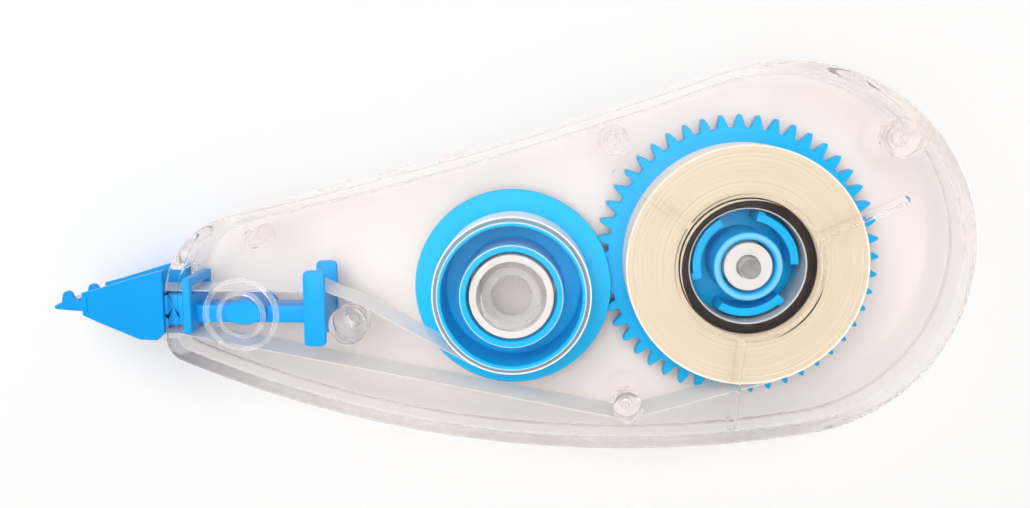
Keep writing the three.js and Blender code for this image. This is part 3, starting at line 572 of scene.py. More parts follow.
belly = meeting_point(nose_bottom, belly_radius - nose_bottom_radius, big_end, belly_radius - big_radius, 1)
brow = meeting_point(big_end, brow_radius + big_radius, nose_top, brow_radius + nose_top_radius, -1)
arcs = [
    (nose_bottom, nose_bottom_radius, -math.pi, direction(belly, nose_bottom), 20, 1),
    (belly, belly_radius, direction(belly, nose_bottom), direction(belly, big_end), 90, 1),
    (big_end, big_radius, direction(belly, big_end), direction(big_end, brow), 110, 1),
    (brow, brow_radius, direction(brow, big_end), direction(brow, nose_top), 180, -1),
    (nose_top, nose_top_radius, direction(nose_top, brow), math.pi, 36, 1),
]


def case_outline():
    """Points and outward normals of the teardrop, anticlockwise. An arc's normal is its radius, times its sense."""
    points, normals = [], []
    for centre, radius, start, end, steps, sense in arcs:
        angles = start + (end - start) * np.linspace(0, 1, steps, endpoint=False)
        points.append(circle(centre, radius, angles))
        normals.append(sense * circle((0, 0), 1, angles))
    flat = np.linspace(nose_top[1], nose_bottom[1], 14, endpoint=False)
    points.append(np.stack([np.full(len(flat), nose_x), flat], axis=1))
    normals.append(np.tile([-1.0, 0.0], (len(flat), 1)))
    return np.vstack(points), np.vstack(normals)


outline, outward = case_outline()
print("outline", len(outline), "points,", np.ptp(outline, axis=0).round(2), "mm")

# %% [markdown]
# ## Case halves
#
# Each half is a tray whose section runs from the middle of its outer face, round the rolled edge, along the
# wall to the parting line, over the lip or groove that lines the halves up, back down inside, and in to the
# middle of the inner face. Carrying that section round the outline gives the whole tray. The rims stop a hair
# short of the parting line, as two clear faces in one plane would confuse the light on its way through. Three
# grip bars swell out of the top wall for the finger, so the wall's rows are pushed out where a bar lies.

# %% Trays
grip_bars = (-16.8, -10.8, -5.0)
grip_half = 1.2
grip_height = 0.45
grip_margin = 1.6
edge_round = 1.0
inner_fillet = 0.4
face_middle = np.array([8.0, -2.0])
face_shares = (0.85, 0.6, 0.3, 0.08)


def plateau(distance, half, shoulder):
    """1 within half - shoulder, falling as a smooth step to 0 at half."""
    t = np.clip((half - np.abs(distance)) / shoulder, 0, 1)
    return t * t * (3 - 2 * t)


def grip_swell(z):
    """How far each outline point is pushed out at the height z: a plateau along the wall times one across it."""
    across = plateau(z - thickness / 2, thickness / 2 - grip_margin, grip_height)
    along = sum(plateau(outline[:, 0] - x, grip_half, grip_height) for x in grip_bars)
    return grip_height * across * along * (outward[:, 1] > 0)


def wall_row(inset, z):
    """The outline drawn in by inset at the height z."""
    return level(outline - inset * outward, z)


def face_rows(inset, z):
    """Rings that shrink from the outline, drawn in by inset, to the middle of the face."""
    edge = outline - inset * outward
    return [level(face_middle + share * (edge - face_middle), z) for share in face_shares]


def tray(outer_face, inner_face, joint, wall_levels):
    """One half. The sign of inner_face - outer_face says which way its walls rise.

    The rolled edge is a quarter circle, and so is the inner fillet; joint holds the (inset, height) corners of
    its lip or groove.
    """
    up = math.copysign(1, inner_face - outer_face)
    rows = face_rows(edge_round, outer_face)[::-1]
    for a in np.radians(np.linspace(0, 90, 8)):
        rows.append(wall_row(edge_round * (1 - math.sin(a)), outer_face + up * edge_round * (1 - math.cos(a))))
    rows += [level(outline + grip_swell(z)[:, None] * outward, z) for z in wall_levels]
    rows += [wall_row(inset, z) for inset, z in joint]
    for a in np.radians(np.linspace(0, 90, 5)):
        rows.append(wall_row(side_wall + inner_fillet * (1 - math.cos(a)),
                             inner_face + up * inner_fillet * (1 - math.sin(a))))
    rows += face_rows(side_wall + inner_fillet, inner_face)
    return closed_grid(np.stack(rows))


lip_width = 0.4
lip_height = 0.8
lip_gap = 0.1
seam_ease = 0.1
seam_gap = 0.03
bar_levels = np.array([1.35, 1.6, 1.72, 1.85, 2.05, 2.6, 4.0])
rear_rim, front_rim = parting - seam_gap, parting + seam_gap
lip_top, groove_top = parting + lip_height, parting + lip_height + lip_gap
lip_inset = side_wall - lip_width
groove_inset = side_wall - lip_width - lip_gap
rear_tray = tray(
    0, face_wall,
    [(seam_ease, rear_rim), (lip_inset, rear_rim), (lip_inset, lip_top - seam_ease),
     (lip_inset + seam_ease, lip_top), (side_wall, lip_top)],
    [*bar_levels, rear_rim - seam_ease],
)
front_tray = tray(
    thickness, front_inner,
    [(seam_ease, front_rim), (groove_inset, front_rim), (groove_inset, groove_top), (side_wall, groove_top)],
    [*(thickness - bar_levels), front_rim + seam_ease],
)
print("trays", len(rear_tray[0]), len(front_tray[0]), "points")

# %% [markdown]
# ### Posts, spindles and guards
#
# The halves snap together at four posts: a bored tube on the rear half takes a pin from the front half. The
# rear half also carries the spindles of both wheels and a peg for the head. The front half has a guard ring
# with three ribs that stops the roll lifting, and two thin rings over the head's hub. The end post stands so
# close that the front half's wall is hollowed a little to make room for its tube.

# %% Places of the posts
wrap_radius = 7.75
slim_post, stout_post = 1.4, 1.85
top_post_x, top_post_gap = 10.25, 0.43
guide_post_x, guide_post_gap = 11.95, 1.34
end_post_bearing, end_post_sink = 43.8, 0.46
spool_post_bearing, spool_post_gap = 189.4, 6.22
fork_half, fork_gap = 1.05, 0.45


def brow_height(x):
    """The top wall's height over x."""
    return brow[1] - math.sqrt(brow_radius ** 2 - (x - brow[0]) ** 2)


def belly_height(x):
    """The bottom wall's height over x."""
    return belly[1] - math.sqrt(belly_radius ** 2 - (x - belly[0]) ** 2)


def beyond(centre, degrees, distance):
    """The point at that bearing and distance from centre."""
    return centre + distance * heading(math.radians(degrees))


top_post_y = brow_height(top_post_x) - side_wall - top_post_gap - slim_post
guide_post_y = belly_height(guide_post_x) + side_wall + guide_post_gap + slim_post
top_post = (np.array([top_post_x, top_post_y]), slim_post)
end_post = (beyond(big_end, end_post_bearing, big_radius - side_wall + end_post_sink - stout_post), stout_post)
spool_post = (beyond(takeup_axis, spool_post_bearing, wrap_radius + spool_post_gap + stout_post), stout_post)
guide_post = (np.array([guide_post_x, guide_post_y]), slim_post)
posts = [top_post, end_post, spool_post, guide_post]
blade_y = -5.15
head_boss = np.array([nose_x + 7.15, blade_y - 0.45])
stop_pin = head_boss + np.array([1.3, 7.3])
fork_x = spool_post[0][0] - stout_post - fork_gap - fork_half
plate_rear = tape_bottom - running_gap - plate_thickness
plate_front = tape_top + running_gap
ring_bottom = plate_front + plate_thickness + seat_gap
for post, radius in posts:
    print("post at", post.round(2), "radius", radius)

# %% Rear half
post_join = 8.2
pin_depth = 2.6
root = face_wall / 2
slot_bottom, slot_top = blade_y - 3.0, blade_y + 3.85
slot_half = 3.5
bore_share = 0.5
peg, peg_bore, peg_floor = 2.3, 1.15, 2.4
spindle, spindle_bore = 4.1, 3.4
head_peg, head_peg_top = 0.5, 4.9
stop_pin_radius = 0.9


def post_tube(centre, radius):
    """A tube with a blind bore in its free end."""
    bore = radius * bore_share
    floor = post_join - pin_depth - running_gap
    return lathe(centre, [(radius, root), (radius, post_join), (bore, post_join), (bore, floor)])


def nose_cut():
    """The opening that the head's neck and both runs of tape pass through."""
    return brick(nose_x - 1, nose_x + side_wall + 1, slot_bottom, slot_top,
                 head_middle - slot_half, head_middle + slot_half, corner=0.1, ease=0.5)


rear_innards = [post_tube(*post) for post in posts] + [
    lathe(supply_axis, [(peg, root), (peg, guard_bottom), (peg_bore, guard_bottom), (peg_bore, peg_floor)]),
    lathe(takeup_axis, [(spindle, root), (spindle, guard_bottom), (spindle_bore, guard_bottom),
                        (spindle_bore, root)], torus=True),
    pin(head_boss, head_peg, root, head_peg_top),
    pin(stop_pin, stop_pin_radius, root, front_inner - running_gap),
]


wall_margin, ring_margin = 0.05, 0.02


def dress_rings(shell, finish, rings):
    """The finish on every face between the two walls that lies in one of the rings (axis, inner, outer)."""
    shell.data.materials.append(finish)
    centres = np.array([face.center for face in shell.data.polygons]) / MM
    inside = (centres[:, 2] > face_wall + wall_margin) & (centres[:, 2] < front_inner - wall_margin)
    near = np.zeros(len(centres), bool)
    for axis, inner, outer in rings:
        distance = np.linalg.norm(centres[:, :2] - axis, axis=1)
        near |= (distance > inner - ring_margin) & (distance < outer + ring_margin)
    shell.data.polygons.foreach_set("material_index", (inside & near).astype(np.int32))
    print(shell.name, int((inside & near).sum()), "faces of", finish.name)


case_rear = welded("rear_shell", [rear_tray], [rear_innards], [[nose_cut()]])
finish_piece(case_rear, "case", "case_rear", clear_plastic)
dress_rings(case_rear, milky_plastic, [(supply_axis, 0, peg), (takeup_axis, spindle_bore, spindle)])

# %% Front half
roof = front_inner + face_wall / 2
guard_radius, guard_wall = 7.1, 0.6
rib_reach = 15.5
rib_half = 0.4
peg_pin = 0.95
takeup_guard = (2.0, 2.9)
hub_rings = ((3.15, 3.65, 96), (1.95, 2.35, 64))


def post_pin(centre, radius):
    """The front half's share of a post: a shoulder as wide as the tube, and the pin that enters it."""
    tip = radius * bore_share - seat_gap
    shoulder = post_join + running_gap
    lead = 0.12
    return lathe(centre, [(tip - lead, post_join - pin_depth), (tip, post_join - pin_depth), (tip, shoulder),
                          (radius, shoulder), (radius, roof), (radius - lead, roof)])


def guard_rib(degrees, reach):
    """A bar with a round end, from inside the guard ring out to its reach."""
    along, across = heading(math.radians(degrees)), heading(math.radians(degrees + 90))
    start = supply_axis + along * (guard_radius - 0.3)
    end = supply_axis + along * reach
    sweep = np.linspace(-math.pi / 2, math.pi / 2, 13)[:, None]
    tip = end + rib_half * (np.cos(sweep) * along + np.sin(sweep) * across)
    return slab(np.vstack([[start - rib_half * across], tip, [start + rib_half * across]]), guard_bottom, roof, 0.08)


front_innards = [post_pin(*post) for post in posts] + [
    pin(supply_axis, peg_pin, guard_bottom - pin_depth, roof),
    washer(takeup_axis, *takeup_guard, guard_bottom - 1, roof, steps=96),
    washer(supply_axis, guard_radius - guard_wall, guard_radius, guard_bottom, roof, steps=128),
    *[washer(head_boss, inner, outer, ring_bottom, roof, steps=steps) for inner, outer, steps in hub_rings],
]
wall_reach = supply_axis[1] - big_end[1] + big_radius - side_wall / 2
ribs = [guard_rib(*rib) for rib in ((25, rib_reach), (145, rib_reach), (265, wall_reach))]
end_room = washer(end_post[0], stout_post * bore_share - seat_gap / 2, stout_post + lip_gap, parting - 0.5,
                  post_join + running_gap / 2, ease=0.05)
case_front = welded("front_shell", [front_tray], [front_innards, ribs], [[nose_cut(), end_room]])
finish_piece(case_front, "case", "case_front", clear_plastic)
dress_rings(case_front, hazy_plastic, [(takeup_axis, *takeup_guard), (supply_axis, 0, peg_pin)] + [
    (head_boss, inner, outer) for inner, outer, _ in hub_rings])

# %% [markdown]
# ## Gears
#
# Both gears have the same module, so their teeth are alike: an involute flank, a rounded tip and a wide rounded
# gap. At radius r the half tooth's angle is its angle at the pitch circle plus inv(20 degrees) less
# inv(acos(base / r)), where inv(a) = tan a - a. Each wheel is one closed grid: its columns follow the teeth, and
# rows that are circles take the same angles.

# %% Teeth
pressure_angle = math.radians(20)
tooth_thinning = 0.16
dedendum = 1.25
tooth_round = 0.2


def involute(angle):
    """tan a - a."""
    return np.tan(angle) - angle


def teeth_outline(teeth, phase):
    """The gear's outline about (0, 0), with one tooth centred on phase."""
    pitch = gear_module * teeth / 2
    base = pitch * math.cos(pressure_angle)
    tip, root_radius = pitch + addendum * gear_module, pitch - dedendum * gear_module
    radii = np.linspace(max(root_radius, base), tip, 4)
    half = (math.pi / (2 * teeth) - tooth_thinning / (2 * pitch)
            + involute(pressure_angle) - involute(np.arccos(np.minimum(1, base / radii))))
    root_half = half[0] + 0.25 * (math.pi / teeth - half[0])
    radius = np.concatenate([[root_radius], radii, radii[::-1], [root_radius]])
    angle = np.concatenate([[-root_half], -half, half[::-1], [root_half]])
    middle = phase + turns(teeth)[:, None]
    polar = np.stack([radius * np.cos(middle + angle), radius * np.sin(middle + angle)], axis=-1)
    return eased(polar.reshape(-1, 2), tooth_round)


def wheel(centre, teeth_line, teeth_rows, circle_rows):
    """A torus grid: rows of the toothed outline, each (inset, height), then rows of circles, (radius, height)."""
    normal = normals_of(teeth_line)
    angles = np.arctan2(teeth_line[:, 1], teeth_line[:, 0])
    rows = [level(np.asarray(centre) + teeth_line - inset * normal, z) for inset, z in teeth_rows]
    rows += [level(circle(centre, r, angles), z) for r, z in circle_rows]
    return closed_grid(np.stack(rows), torus=True)


rim = 0.08
supply_line = teeth_outline(supply_teeth, mesh_angle)
roll_radius = 11.6
land_radius = roll_radius - 0.3
supply_hub = 3.3
supply_bore = 2.6


def hollow_corner(radius, floor, size=0.2):
    """Three points that round the corner where a side of that radius stands on a floor."""
    return [(radius + size, floor), (radius + size / 4, floor + size / 4), (radius, floor + size)]


def tube_end(outer, inner):
    """The eased end, at the guard's height, of a tube between those radii."""
    return [(outer, guard_bottom - rim), (outer - rim, guard_bottom),
            (inner + rim, guard_bottom), (inner, guard_bottom - rim)]


gear_skin = wheel(
    supply_axis, supply_line,
    [(rim, gear_bottom), (0, gear_bottom + rim), (0, gear_top - rim), (rim, gear_top)],
    [*hollow_corner(land_radius, gear_top), (land_radius, land_top - rim), (land_radius - rim, land_top),
     *hollow_corner(supply_hub, land_top), *tube_end(supply_hub, supply_bore),
     (supply_bore, gear_bottom + rim), (supply_bore + rim, gear_bottom)],
)
print("supply gear", len(gear_skin[0]), "points")

# %% [markdown]
# ### Clutch fingers
#
# Three springy fingers stand on the gear and press outwards on the core's bore. That light grip is the clutch:
# the roll shrinks and the take-up grows, so one of them has to slip. Each finger is a bent bar that stands on a
# short root and ends in a small nose.

# %% Supply gear
core_outer = 6.6
core_inner = 5.5


def bent_bar(inner, outer, start, sweep, z0, z1, steps):
    """A bar bent round the supply axis: an outer and an inner arc, closed by a ladder cap."""
    angles = np.radians(start + sweep * np.linspace(0, 1, steps))
    line = np.vstack([circle(supply_axis, outer, angles), circle(supply_axis, inner, angles[::-1])])
    return slab(line, z0, z1, 0.08, cap="ladder")


nose_height = 0.2
finger_outer = core_inner - seat_gap - nose_height
finger_inner = finger_outer - 0.8
finger_bottom, finger_top = land_top + 0.4, land_top + 4.2
finger_sweep, root_sweep, nose_sweep = 78, 15, 7.5
hair = 0.03
gear_parts = [gear_skin]
for start in (0, 120, 240):
    # the arm, its root, which goes down into the gear, and its nose, each a hair off the arm's own faces
    gear_parts += [
        bent_bar(finger_inner, finger_outer, start, finger_sweep, finger_bottom, finger_top, 24),
        bent_bar(finger_inner + hair, finger_outer - hair, start + 1, root_sweep, land_top - 0.45, land_top + 0.8, 8),
        bent_bar(finger_outer - 0.4, finger_outer + nose_height, start + 70, nose_sweep,
                 finger_bottom + hair, finger_top - hair, 6),
    ]
finish_piece(object_of("supply_wheel_gear", gear_parts), "supply_wheel", "supply_gear", gear_blue)

# %% [markdown]
# ## Core and roll
#
# The core is a short black tube with rounded rims. The roll around it is hundreds of turns of tape, which is one
# ring with a barely stepped side: we let every row of its faces lie a few hundredths of a millimetre off, as
# wound layers do.

# %% Core and roll
core = object_of("reel_core", [lathe(supply_axis, [
    (core_inner, tape_bottom), (core_outer, tape_bottom), (core_outer, tape_top), (core_inner, tape_top)],
    ease=0.18, torus=True, steps=160)])
finish_piece(core, "tape_reel", "supply_core", black_plastic)


ring_steps = 160
winding_gap = 0.02


def wound_ring(centre, inner, outer, z0, z1, rows, unevenness):
    """A ring whose two sides waver by unevenness from turn to turn: sin(i) + sin(2.7 i) of row number i."""
    radii = np.linspace(inner, outer, rows)
    i = np.arange(rows)
    waver = unevenness * (np.sin(i) + np.sin(2.7 * i)) / 2
    heights = np.concatenate([z1 - np.abs(waver), z0 + np.abs(waver[::-1])])
    radii = np.concatenate([radii, radii[::-1]])
    angles = turns(ring_steps)
    return closed_grid(np.stack([level(circle(centre, r, angles), z) for r, z in zip(radii, heights)]), torus=True)


roll = object_of("coated_roll", [
    wound_ring(supply_axis, core_outer + winding_gap, roll_radius, tape_bottom, tape_top, 40, 0.05)])
finish_piece(roll, "tape_reel", "tape_roll", roll_side)

# %% [markdown]
# ## Take-up spool
#
# The spool is one blue moulding: a pinion that meshes with the supply gear, a flange, a thin drum for the used
# film, and a hub that turns on the case's spindle. Again a single section, carried round.

# %% Spool and its first wraps
flange_radius = axis_distance - land_radius - 1.6
drum, drum_inner = 7.3, 6.85
hub, hub_bore = 5.05, 4.4
foot = 0.15
spool_skin = wheel(
    takeup_axis, teeth_outline(takeup_teeth, mesh_angle + math.pi + math.pi / takeup_teeth),
    [(rim, gear_bottom), (0, gear_bottom + rim), (0, flange_bottom)],
    [(flange_radius - rim, flange_bottom), (flange_radius, flange_bottom + rim),
     (flange_radius, flange_top - rim), (flange_radius - rim, flange_top),
     (drum + foot, flange_top), (drum, flange_top + foot), *tube_end(drum, drum_inner),
     (drum_inner, flange_top + foot), (drum_inner - foot, flange_top),
     (hub + foot, flange_top), (hub, flange_top + foot), *tube_end(hub, hub_bore),
     (hub_bore, gear_bottom + rim), (hub_bore + rim, gear_bottom)],
)
finish_piece(object_of("takeup_reel", [spool_skin]), "takeup_wheel", "takeup_spool", spool_blue)
wraps = object_of("film_wraps", [
    wound_ring(takeup_axis, drum + winding_gap, wrap_radius, tape_bottom, tape_top, 8, 0.03)])
finish_piece(wraps, "takeup_wheel", "takeup_wraps", wrap_side)

# %% [markdown]
# ## Applicator head
#
# The head is one blue moulding that reaches out of the nose: a thin blade that presses the tape down, an ear on
# each side that keeps the tape on it, and a wedge with a shallow channel below and a deep one above. Inside the
# case follow a neck, a collar with a window for the film, a stem with an oval hub, and a fork that guides the
# film. The wedge is a section carried along the head: twelve corners that follow the channels, with their
# places read between four stations.

# %% Wedge and blade
blade_tip = nose_x - 11.55
blade_width = tape_width + 0.4
rail_depth = 0.5
station_ahead = np.array([8.65, 6.95, 2.8, 0.3])
station_below = np.array([0.83, 1.47, 2.95, 3.0])
station_above = np.array([1.45, 1.89, 3.15, 3.85])
station_floor = np.array([0.95, 1.15, 1.3, 1.3])
station_rail = np.array([0.4, 0.75, 1.4, 1.6])
wedge_rows = np.concatenate([[8.65, 8.6], np.linspace(8.4, 2.9, 24), [2.8, 2.7], np.linspace(2.4, 0.3, 9)])
wedge_round = 0.16
edge_half, base_half, base_x = 0.2, 0.45, nose_x - 7.65


def along_stations(values, ahead):
    """A station value read between its neighbours."""
    return np.interp(-ahead, -station_ahead, values)


def wedge():
    """Sections across X from the wedge's tip to its base, whose lower corner is cut off; ladder caps close it."""
    rows = []
    for ahead in wedge_rows:
        below = along_stations(station_below, ahead)
        bottom = blade_y - min(below, 1.9 + ahead)
        low = max(bottom + 0.05, blade_y - below + rail_depth)
        top = blade_y + along_stations(station_above, ahead)
        high = blade_y + along_stations(station_floor, ahead)
        inner = blade_width / 2
        outer = inner + along_stations(station_rail, ahead)
        corners = [(bottom, -outer), (bottom, -inner), (low, -inner), (low, inner), (bottom, inner), (bottom, outer),
                   (top, outer), (top, inner), (high, inner), (high, -inner), (top, -inner), (top, -outer)]
        section = eased(corners, wedge_round)
        rows.append(np.column_stack([
            np.full(len(section), nose_x - ahead), section[:, 0], head_middle + section[:, 1]]))
    return closed_grid(np.stack(rows), cap="ladder")


def blade():
    """A thin tongue that tapers to a rounded edge: a slim outline in XY, raised along Z."""
    line = eased([(blade_tip + 0.12, blade_y - edge_half), (base_x, blade_y - base_half),
                  (base_x, blade_y + base_half), (blade_tip + 0.12, blade_y + edge_half)], 0.18)
    return slab(line, head_middle - blade_width / 2 - 0.3, head_middle + blade_width / 2 + 0.3, 0.1, cap="ladder")


wedge_skin, blade_skin = wedge(), blade()
print("wedge", len(wedge_skin[0]), "points, blade", len(blade_skin[0]))

# %% [markdown]
# A side plate is a curve over a foot: for each place along the blade it has one top and one bottom. So its
# outline runs out along the foot and back along the top, and a ladder of quads closes it well, hollow neck and
# all. The collar's window makes it a frame: a box section carried round a rectangle.

# %% Plates, collar and hub
ear_thickness = 0.6
plate_top = np.array([(10.68, 0.02), (10.38, 1.45), (10.04, 1.68), (9.64, 1.52), (9.28, 0.76), (9.1, 0.64),
                      (8.9, 0.67), (8.5, 0.95), (8.1, 1.05)])
plate_foot = np.array([(10.68, -0.12), (9.5, -0.12), (8.56, -0.28), (8.1, -0.4)])


def side_plate(z, tallness):
    """The guide plate on one side of the blade, tallness times as high as the front one."""
    top = eased(plate_top * (-1, tallness), 0.2, loop=False)
    foot = np.stack([top[:, 0], np.interp(top[:, 0], -plate_foot[:, 0], plate_foot[:, 1])], axis=1)
    line = np.vstack([foot, top[::-1]]) + (nose_x, blade_y)
    return slab(line, z, z + ear_thickness, 0.05, cap="ladder")


def window_plate(x0, x1, outside, window, ease=0.1):
    """A plate across X with a window. outside and window are (y0, y1, z0, z1)."""
    def loop(rectangle, inset, x):
        """The rectangle drawn in by inset, with round corners, at x."""
        y0, y1, z0, z1 = np.array(rectangle) + inset * np.array([1, -1, 1, -1])
        flat = eased([(y0, z0), (y1, z0), (y1, z1), (y0, z1)], 0.25)
        return np.column_stack([np.full(len(flat), x), flat])

    half = [(window, 0, ease), (window, -ease, 0), (outside, ease, 0), (outside, 0, ease)]
    rows = [loop(rectangle, inset, x0 + depth) for rectangle, inset, depth in half]
    rows += [loop(rectangle, inset, x1 - depth) for rectangle, inset, depth in half[::-1]]
    return closed_grid(np.stack(rows), torus=True)


def oval_hub():
    """An oval boss with a blind bore from below: a circle and an oval share their columns' angles."""
    angles = turns(72)
    low, high, soft = tape_bottom - plate_thickness, tape_top + plate_thickness, 0.12
    bore, bore_end, half_length, half_width = 0.8, head_peg_top + 0.05, 1.95, 1.15
    oval = circle((0, 0), 1, angles)
    rows = [level(circle(head_boss, bore, angles), z) for z in (bore_end, low)]
    rows += [level(head_boss + oval * (half_length - inset, half_width - inset), z)
             for inset, z in ((soft, low), (0, low + soft), (0, high - soft), (soft, high))]
    return closed_grid(np.stack(rows))


fork_low, fork_high = blade_y - 3.65, blade_y + 3.75
web_end, web_foot = fork_x + 0.95, blade_y - 2.25
web_low, web_high = blade_y + 1.5, blade_y + 2.1


def fork_plate(z):
    """A round cornered plate of the fork."""
    return brick(fork_x - fork_half, fork_x + fork_half, fork_low, fork_high, z, z + plate_thickness,
                 corner=0.55, ease=0.12)


def fork_web():
    """The web between the fork's plates, whose top slants down towards the spool."""
    line = eased([(fork_x, web_foot), (web_end, web_foot), (web_end, web_low), (fork_x, web_high)], 0.2)
    return slab(line, plate_rear + 0.1, plate_front + 0.6)


# %% Applicator head
shoulder_x = nose_x - 0.3
collar_x = nose_x + side_wall + running_gap
stem_y = blade_y - 0.85
neck_above, neck_below, half_neck = 1.3, 1.7, tape_width / 2 + 0.5
collar_above, collar_below, half_collar = 2.9, 2.5, tape_width / 2 + 0.95
collar_length, half_window = 0.8, 2.7
half_stem, stem_width = 0.85, 3.2
film_level = blade_y + neck_above + seat_gap + 0.1
head_parts = [
    wedge_skin, blade_skin,
    side_plate(head_middle - blade_width / 2 - ear_thickness, 0.78), side_plate(head_middle + blade_width / 2, 1.0),
    brick(shoulder_x - 1, collar_x + collar_length / 2, blade_y - neck_below, blade_y + neck_above,
          head_middle - half_neck, head_middle + half_neck),
    window_plate(collar_x, collar_x + collar_length,
                 (blade_y - collar_below, blade_y + collar_above, head_middle - half_collar,
                  head_middle + half_collar),
                 (blade_y + neck_above - 0.05, film_level + 0.4, head_middle - half_window,
                  head_middle + half_window)),
    brick(collar_x + collar_length / 2, fork_x + 0.5, stem_y - half_stem, stem_y + half_stem,
          head_middle - stem_width / 2, head_middle + stem_width / 2),
    oval_hub(), fork_plate(plate_rear), fork_plate(plate_front), fork_web(),
]
finish_piece(object_of("tape_head", head_parts), "case", "applicator_head", head_blue)

# %% [markdown]
# ## Runs of tape
#
# Tape stands on edge between the two walls. The coated run leaves the roll, turns under the guide post, passes
# out below the neck and lies in the wedge's lower channel up to the blade's edge. The film comes back above: along
# the wedge, through the collar's window, over the fork's web and the post behind it, and down to the drum. Each is
# a thin strip along a path: straight stretches between tangent points, with an arc round each post.

# %% Strips
film = 0.08


def tangent(first, first_radius, second, second_radius, side):
    """Where a taut stretch leaves one circle and meets the next, both on the same side of it.

    The cosine of the angle from the line of centres to the radii is (r1 - r2) / distance. A radius below 0 puts
    that circle on the other side.
    """
    span = np.linalg.norm(np.asarray(second) - first)
    normal = direction(first, second) + side * math.acos((first_radius - second_radius) / span)
    way = heading(normal)
    return first + first_radius * way, second + second_radius * way


def strip(path):
    """A thin band on edge along path: at each point a rectangle across the path's normal."""
    path = np.asarray(path)
    tangent_line = np.gradient(path, axis=0)
    tangent_line /= np.linalg.norm(tangent_line, axis=1, keepdims=True)
    normal = np.stack([-tangent_line[:, 1], tangent_line[:, 0]], axis=1)
    sides = [(-film / 2, tape_bottom), (film / 2, tape_bottom), (film / 2, tape_top), (-film / 2, tape_top)]
    rings = np.stack([level(path + d * normal, z) for d, z in sides], axis=1)
    return closed_grid(rings)


def channel_floor(values, sign, ahead):
    """A point of a channel's floor, one film's distance clear of it. values are heights from the blade."""
    return (nose_x - ahead, blade_y + sign * (along_stations(values, ahead) + film))


strip_steps = 240


def evenly(path):
    """The same line with its points evenly spaced by length."""
    path = np.asarray(path, float)
    length = np.concatenate([[0], np.cumsum(np.linalg.norm(np.diff(path, axis=0), axis=1))])
    s = np.linspace(0, length[-1], strip_steps)
    return np.stack([np.interp(s, length, path[:, k]) for k in range(2)], axis=1)


def tape_run(name, path, node, material):
    """A finished run of tape along path, and its length."""
    path = np.vstack(path)
    finish_piece(object_of(name, [strip(evenly(eased(path, 0.3, loop=False)))]), "case", node, material)
    print(name, "is", round(float(np.linalg.norm(np.diff(path, axis=0), axis=1).sum()), 1), "mm long")


run_stations = (8.5, 6.95, 2.8, 0.3)
guide, guide_bend = guide_post[0], slim_post + film
leave_roll, meet_post = tangent(supply_axis, roll_radius + film / 2, guide, guide_bend, 1)
nose_exit = np.array([nose_x + side_wall, slot_bottom + 0.25])
leave_post, _ = tangent(guide, guide_bend, nose_exit, 0, 1)
around = np.linspace(direction(guide, meet_post), direction(guide, leave_post), 9)
tape_run("coated_run", [
    [leave_roll], circle(guide, guide_bend, around), [nose_exit],
    [channel_floor(station_below - rail_depth, -1, ahead) for ahead in run_stations[::-1]],
    [(blade_tip + 1.6, blade_y - 0.45), (blade_tip + 0.25, blade_y - 0.28), (blade_tip + film, blade_y - 0.1)],
], "supply_tape_run", coated_tape)

fork_points = [(fork_x - fork_half, film_level), (fork_x - 0.1, web_high + film), (web_end, web_low + film)]
turn, turn_bend = spool_post[0], stout_post + film
_, meet_bend = tangent(np.array(fork_points[-1]), 0, turn, -turn_bend, -1)
leave_bend, meet_drum = tangent(turn, -turn_bend, takeup_axis, wrap_radius + film / 2, -1)
over = np.linspace(direction(turn, meet_bend), direction(turn, leave_bend), 5)
tape_run("film_run", [
    [(blade_tip + film, blade_y + 0.02), (blade_tip + 0.25, blade_y + 0.28), (blade_tip + 1.6, blade_y + 0.5)],
    [channel_floor(station_floor, 1, ahead) for ahead in run_stations[:3]],
    [(shoulder_x, film_level)], fork_points, circle(turn, turn_bend, over), [meet_drum],
], "return_film_run", used_film)

# %% [markdown]
# ## Studio
#
# The picture is a bright product shot: white ground, a wide soft lamp up and to the left, and a pale room that
# is darker near the horizon. That band is what the clear edges bend into view, so without it they would vanish
# into the white. A second lamp overhead, which no gloss mirrors, brightens the inside. Light crosses dozens of
# clear faces before it leaves the case, so its paths may be long. The ground lies a hair below the case, so that
# the two faces don't meet.

# %% Ground, lamp and room
def studio_ground(reach=3.0, drop=-0.02 * MM):
    """A wide square of matt white."""
    mesh = bpy.data.meshes.new("ground")
    mesh.from_pydata([(-reach, -reach, drop), (reach, -reach, drop), (reach, reach, drop), (-reach, reach, drop)],
                     [], [(0, 1, 2, 3)])
    ground = bpy.data.objects.new("ground", mesh)
    bpy.context.scene.collection.objects.link(ground)
    mesh.materials.append(start_material("ground_paper", (0.97, 0.97, 0.97), 40, 0.9, depth=0.0)[0])


def unit(vector):
    """The same direction with length 1."""
    return np.array(vector) / np.linalg.norm(vector)


def placed(name, data, turn, place):
    """A lamp or camera in the scene, turned by a 3 by 3 matrix, at place, in metres."""
    thing = bpy.data.objects.new(name, data)
    bpy.context.scene.collection.objects.link(thing)
    matrix = np.eye(4)
    matrix[:3, :3], matrix[:3, 3] = turn, place
    thing.matrix_world = Matrix(matrix.tolist())
    return thing


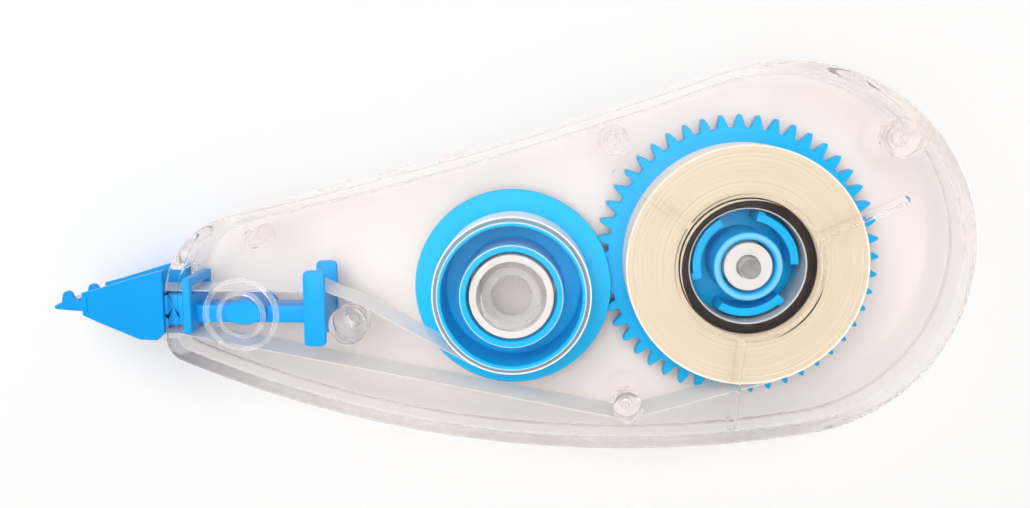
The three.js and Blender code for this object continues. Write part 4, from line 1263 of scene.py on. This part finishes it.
def soft_lamp(name, place, size, power):
    """A square area lamp at place, in metres, turned towards the origin."""
    data = bpy.data.lights.new(name, "AREA")
    data.size = size
    data.energy = power
    back = unit(place)
    side = unit(np.cross((0, 1, 0), back))
    return placed(name, data, np.stack([side, np.cross(back, side), back], axis=1), place)


studio_ground()
soft_lamp("key_lamp", (-0.12, 0.22, 0.45), size=0.35, power=1.05)
overhead = soft_lamp("overhead_lamp", (0.0, 0.03, 0.5), size=0.25, power=0.45)
overhead.visible_glossy = False

world = bpy.data.worlds.new("room")
world.use_nodes = True
bpy.context.scene.world = world
room = world.node_tree
height = add_node(room, "SeparateXYZ", {0: add_node(room, "TexCoord", {}).outputs["Generated"]})
ramp = add_node(room, "ValToRGB", {"Fac": height.outputs["Z"]})
horizon, zenith = ramp.color_ramp.elements
horizon.position, horizon.color = 0.0, (0.58, 0.55, 0.54, 1)
zenith.position, zenith.color = 0.55, (1.0, 0.99, 0.98, 1)
fill(room, room.nodes["Background"], {"Color": ramp.outputs["Color"], "Strength": 0.60})
bpy.context.scene.view_settings.view_transform = "Standard"
paths = bpy.context.scene.cycles
paths.max_bounces = paths.transmission_bounces = 32
paths.glossy_bounces = 16
paths.transparent_max_bounces = 32

# %% [markdown]
# ## Camera
#
# In the photograph upright posts lean away from one pixel, which is the point straight below the lens. With the
# lens's focal length in pixels that pixel gives the tilt. World Z seen by the camera points from that pixel, and
# world X stays level in the picture.

# %% Camera
picture_width = 1030
picture_middle = np.array([515, 254])
focal_pixels = 1085
plumb_pixel = np.array([545, 90])
lens_place = np.array([3.82, 15.75, 112.0])

plumb = np.append((plumb_pixel - picture_middle) * (1, -1) / focal_pixels, -1.0)
sky = -unit(plumb)
y_seen = unit([0, sky[2], -sky[1]])
camera_data = bpy.data.cameras.new("camera")
camera_data.sensor_width = 36
camera_data.lens = camera_data.sensor_width * focal_pixels / picture_width
camera_data.clip_start = 0.005
bpy.context.scene.camera = placed(
    "camera", camera_data, np.stack([np.cross(y_seen, sky), y_seen, sky]), lens_place * MM)
print("lens", round(camera_data.lens, 2), "mm at", lens_place)
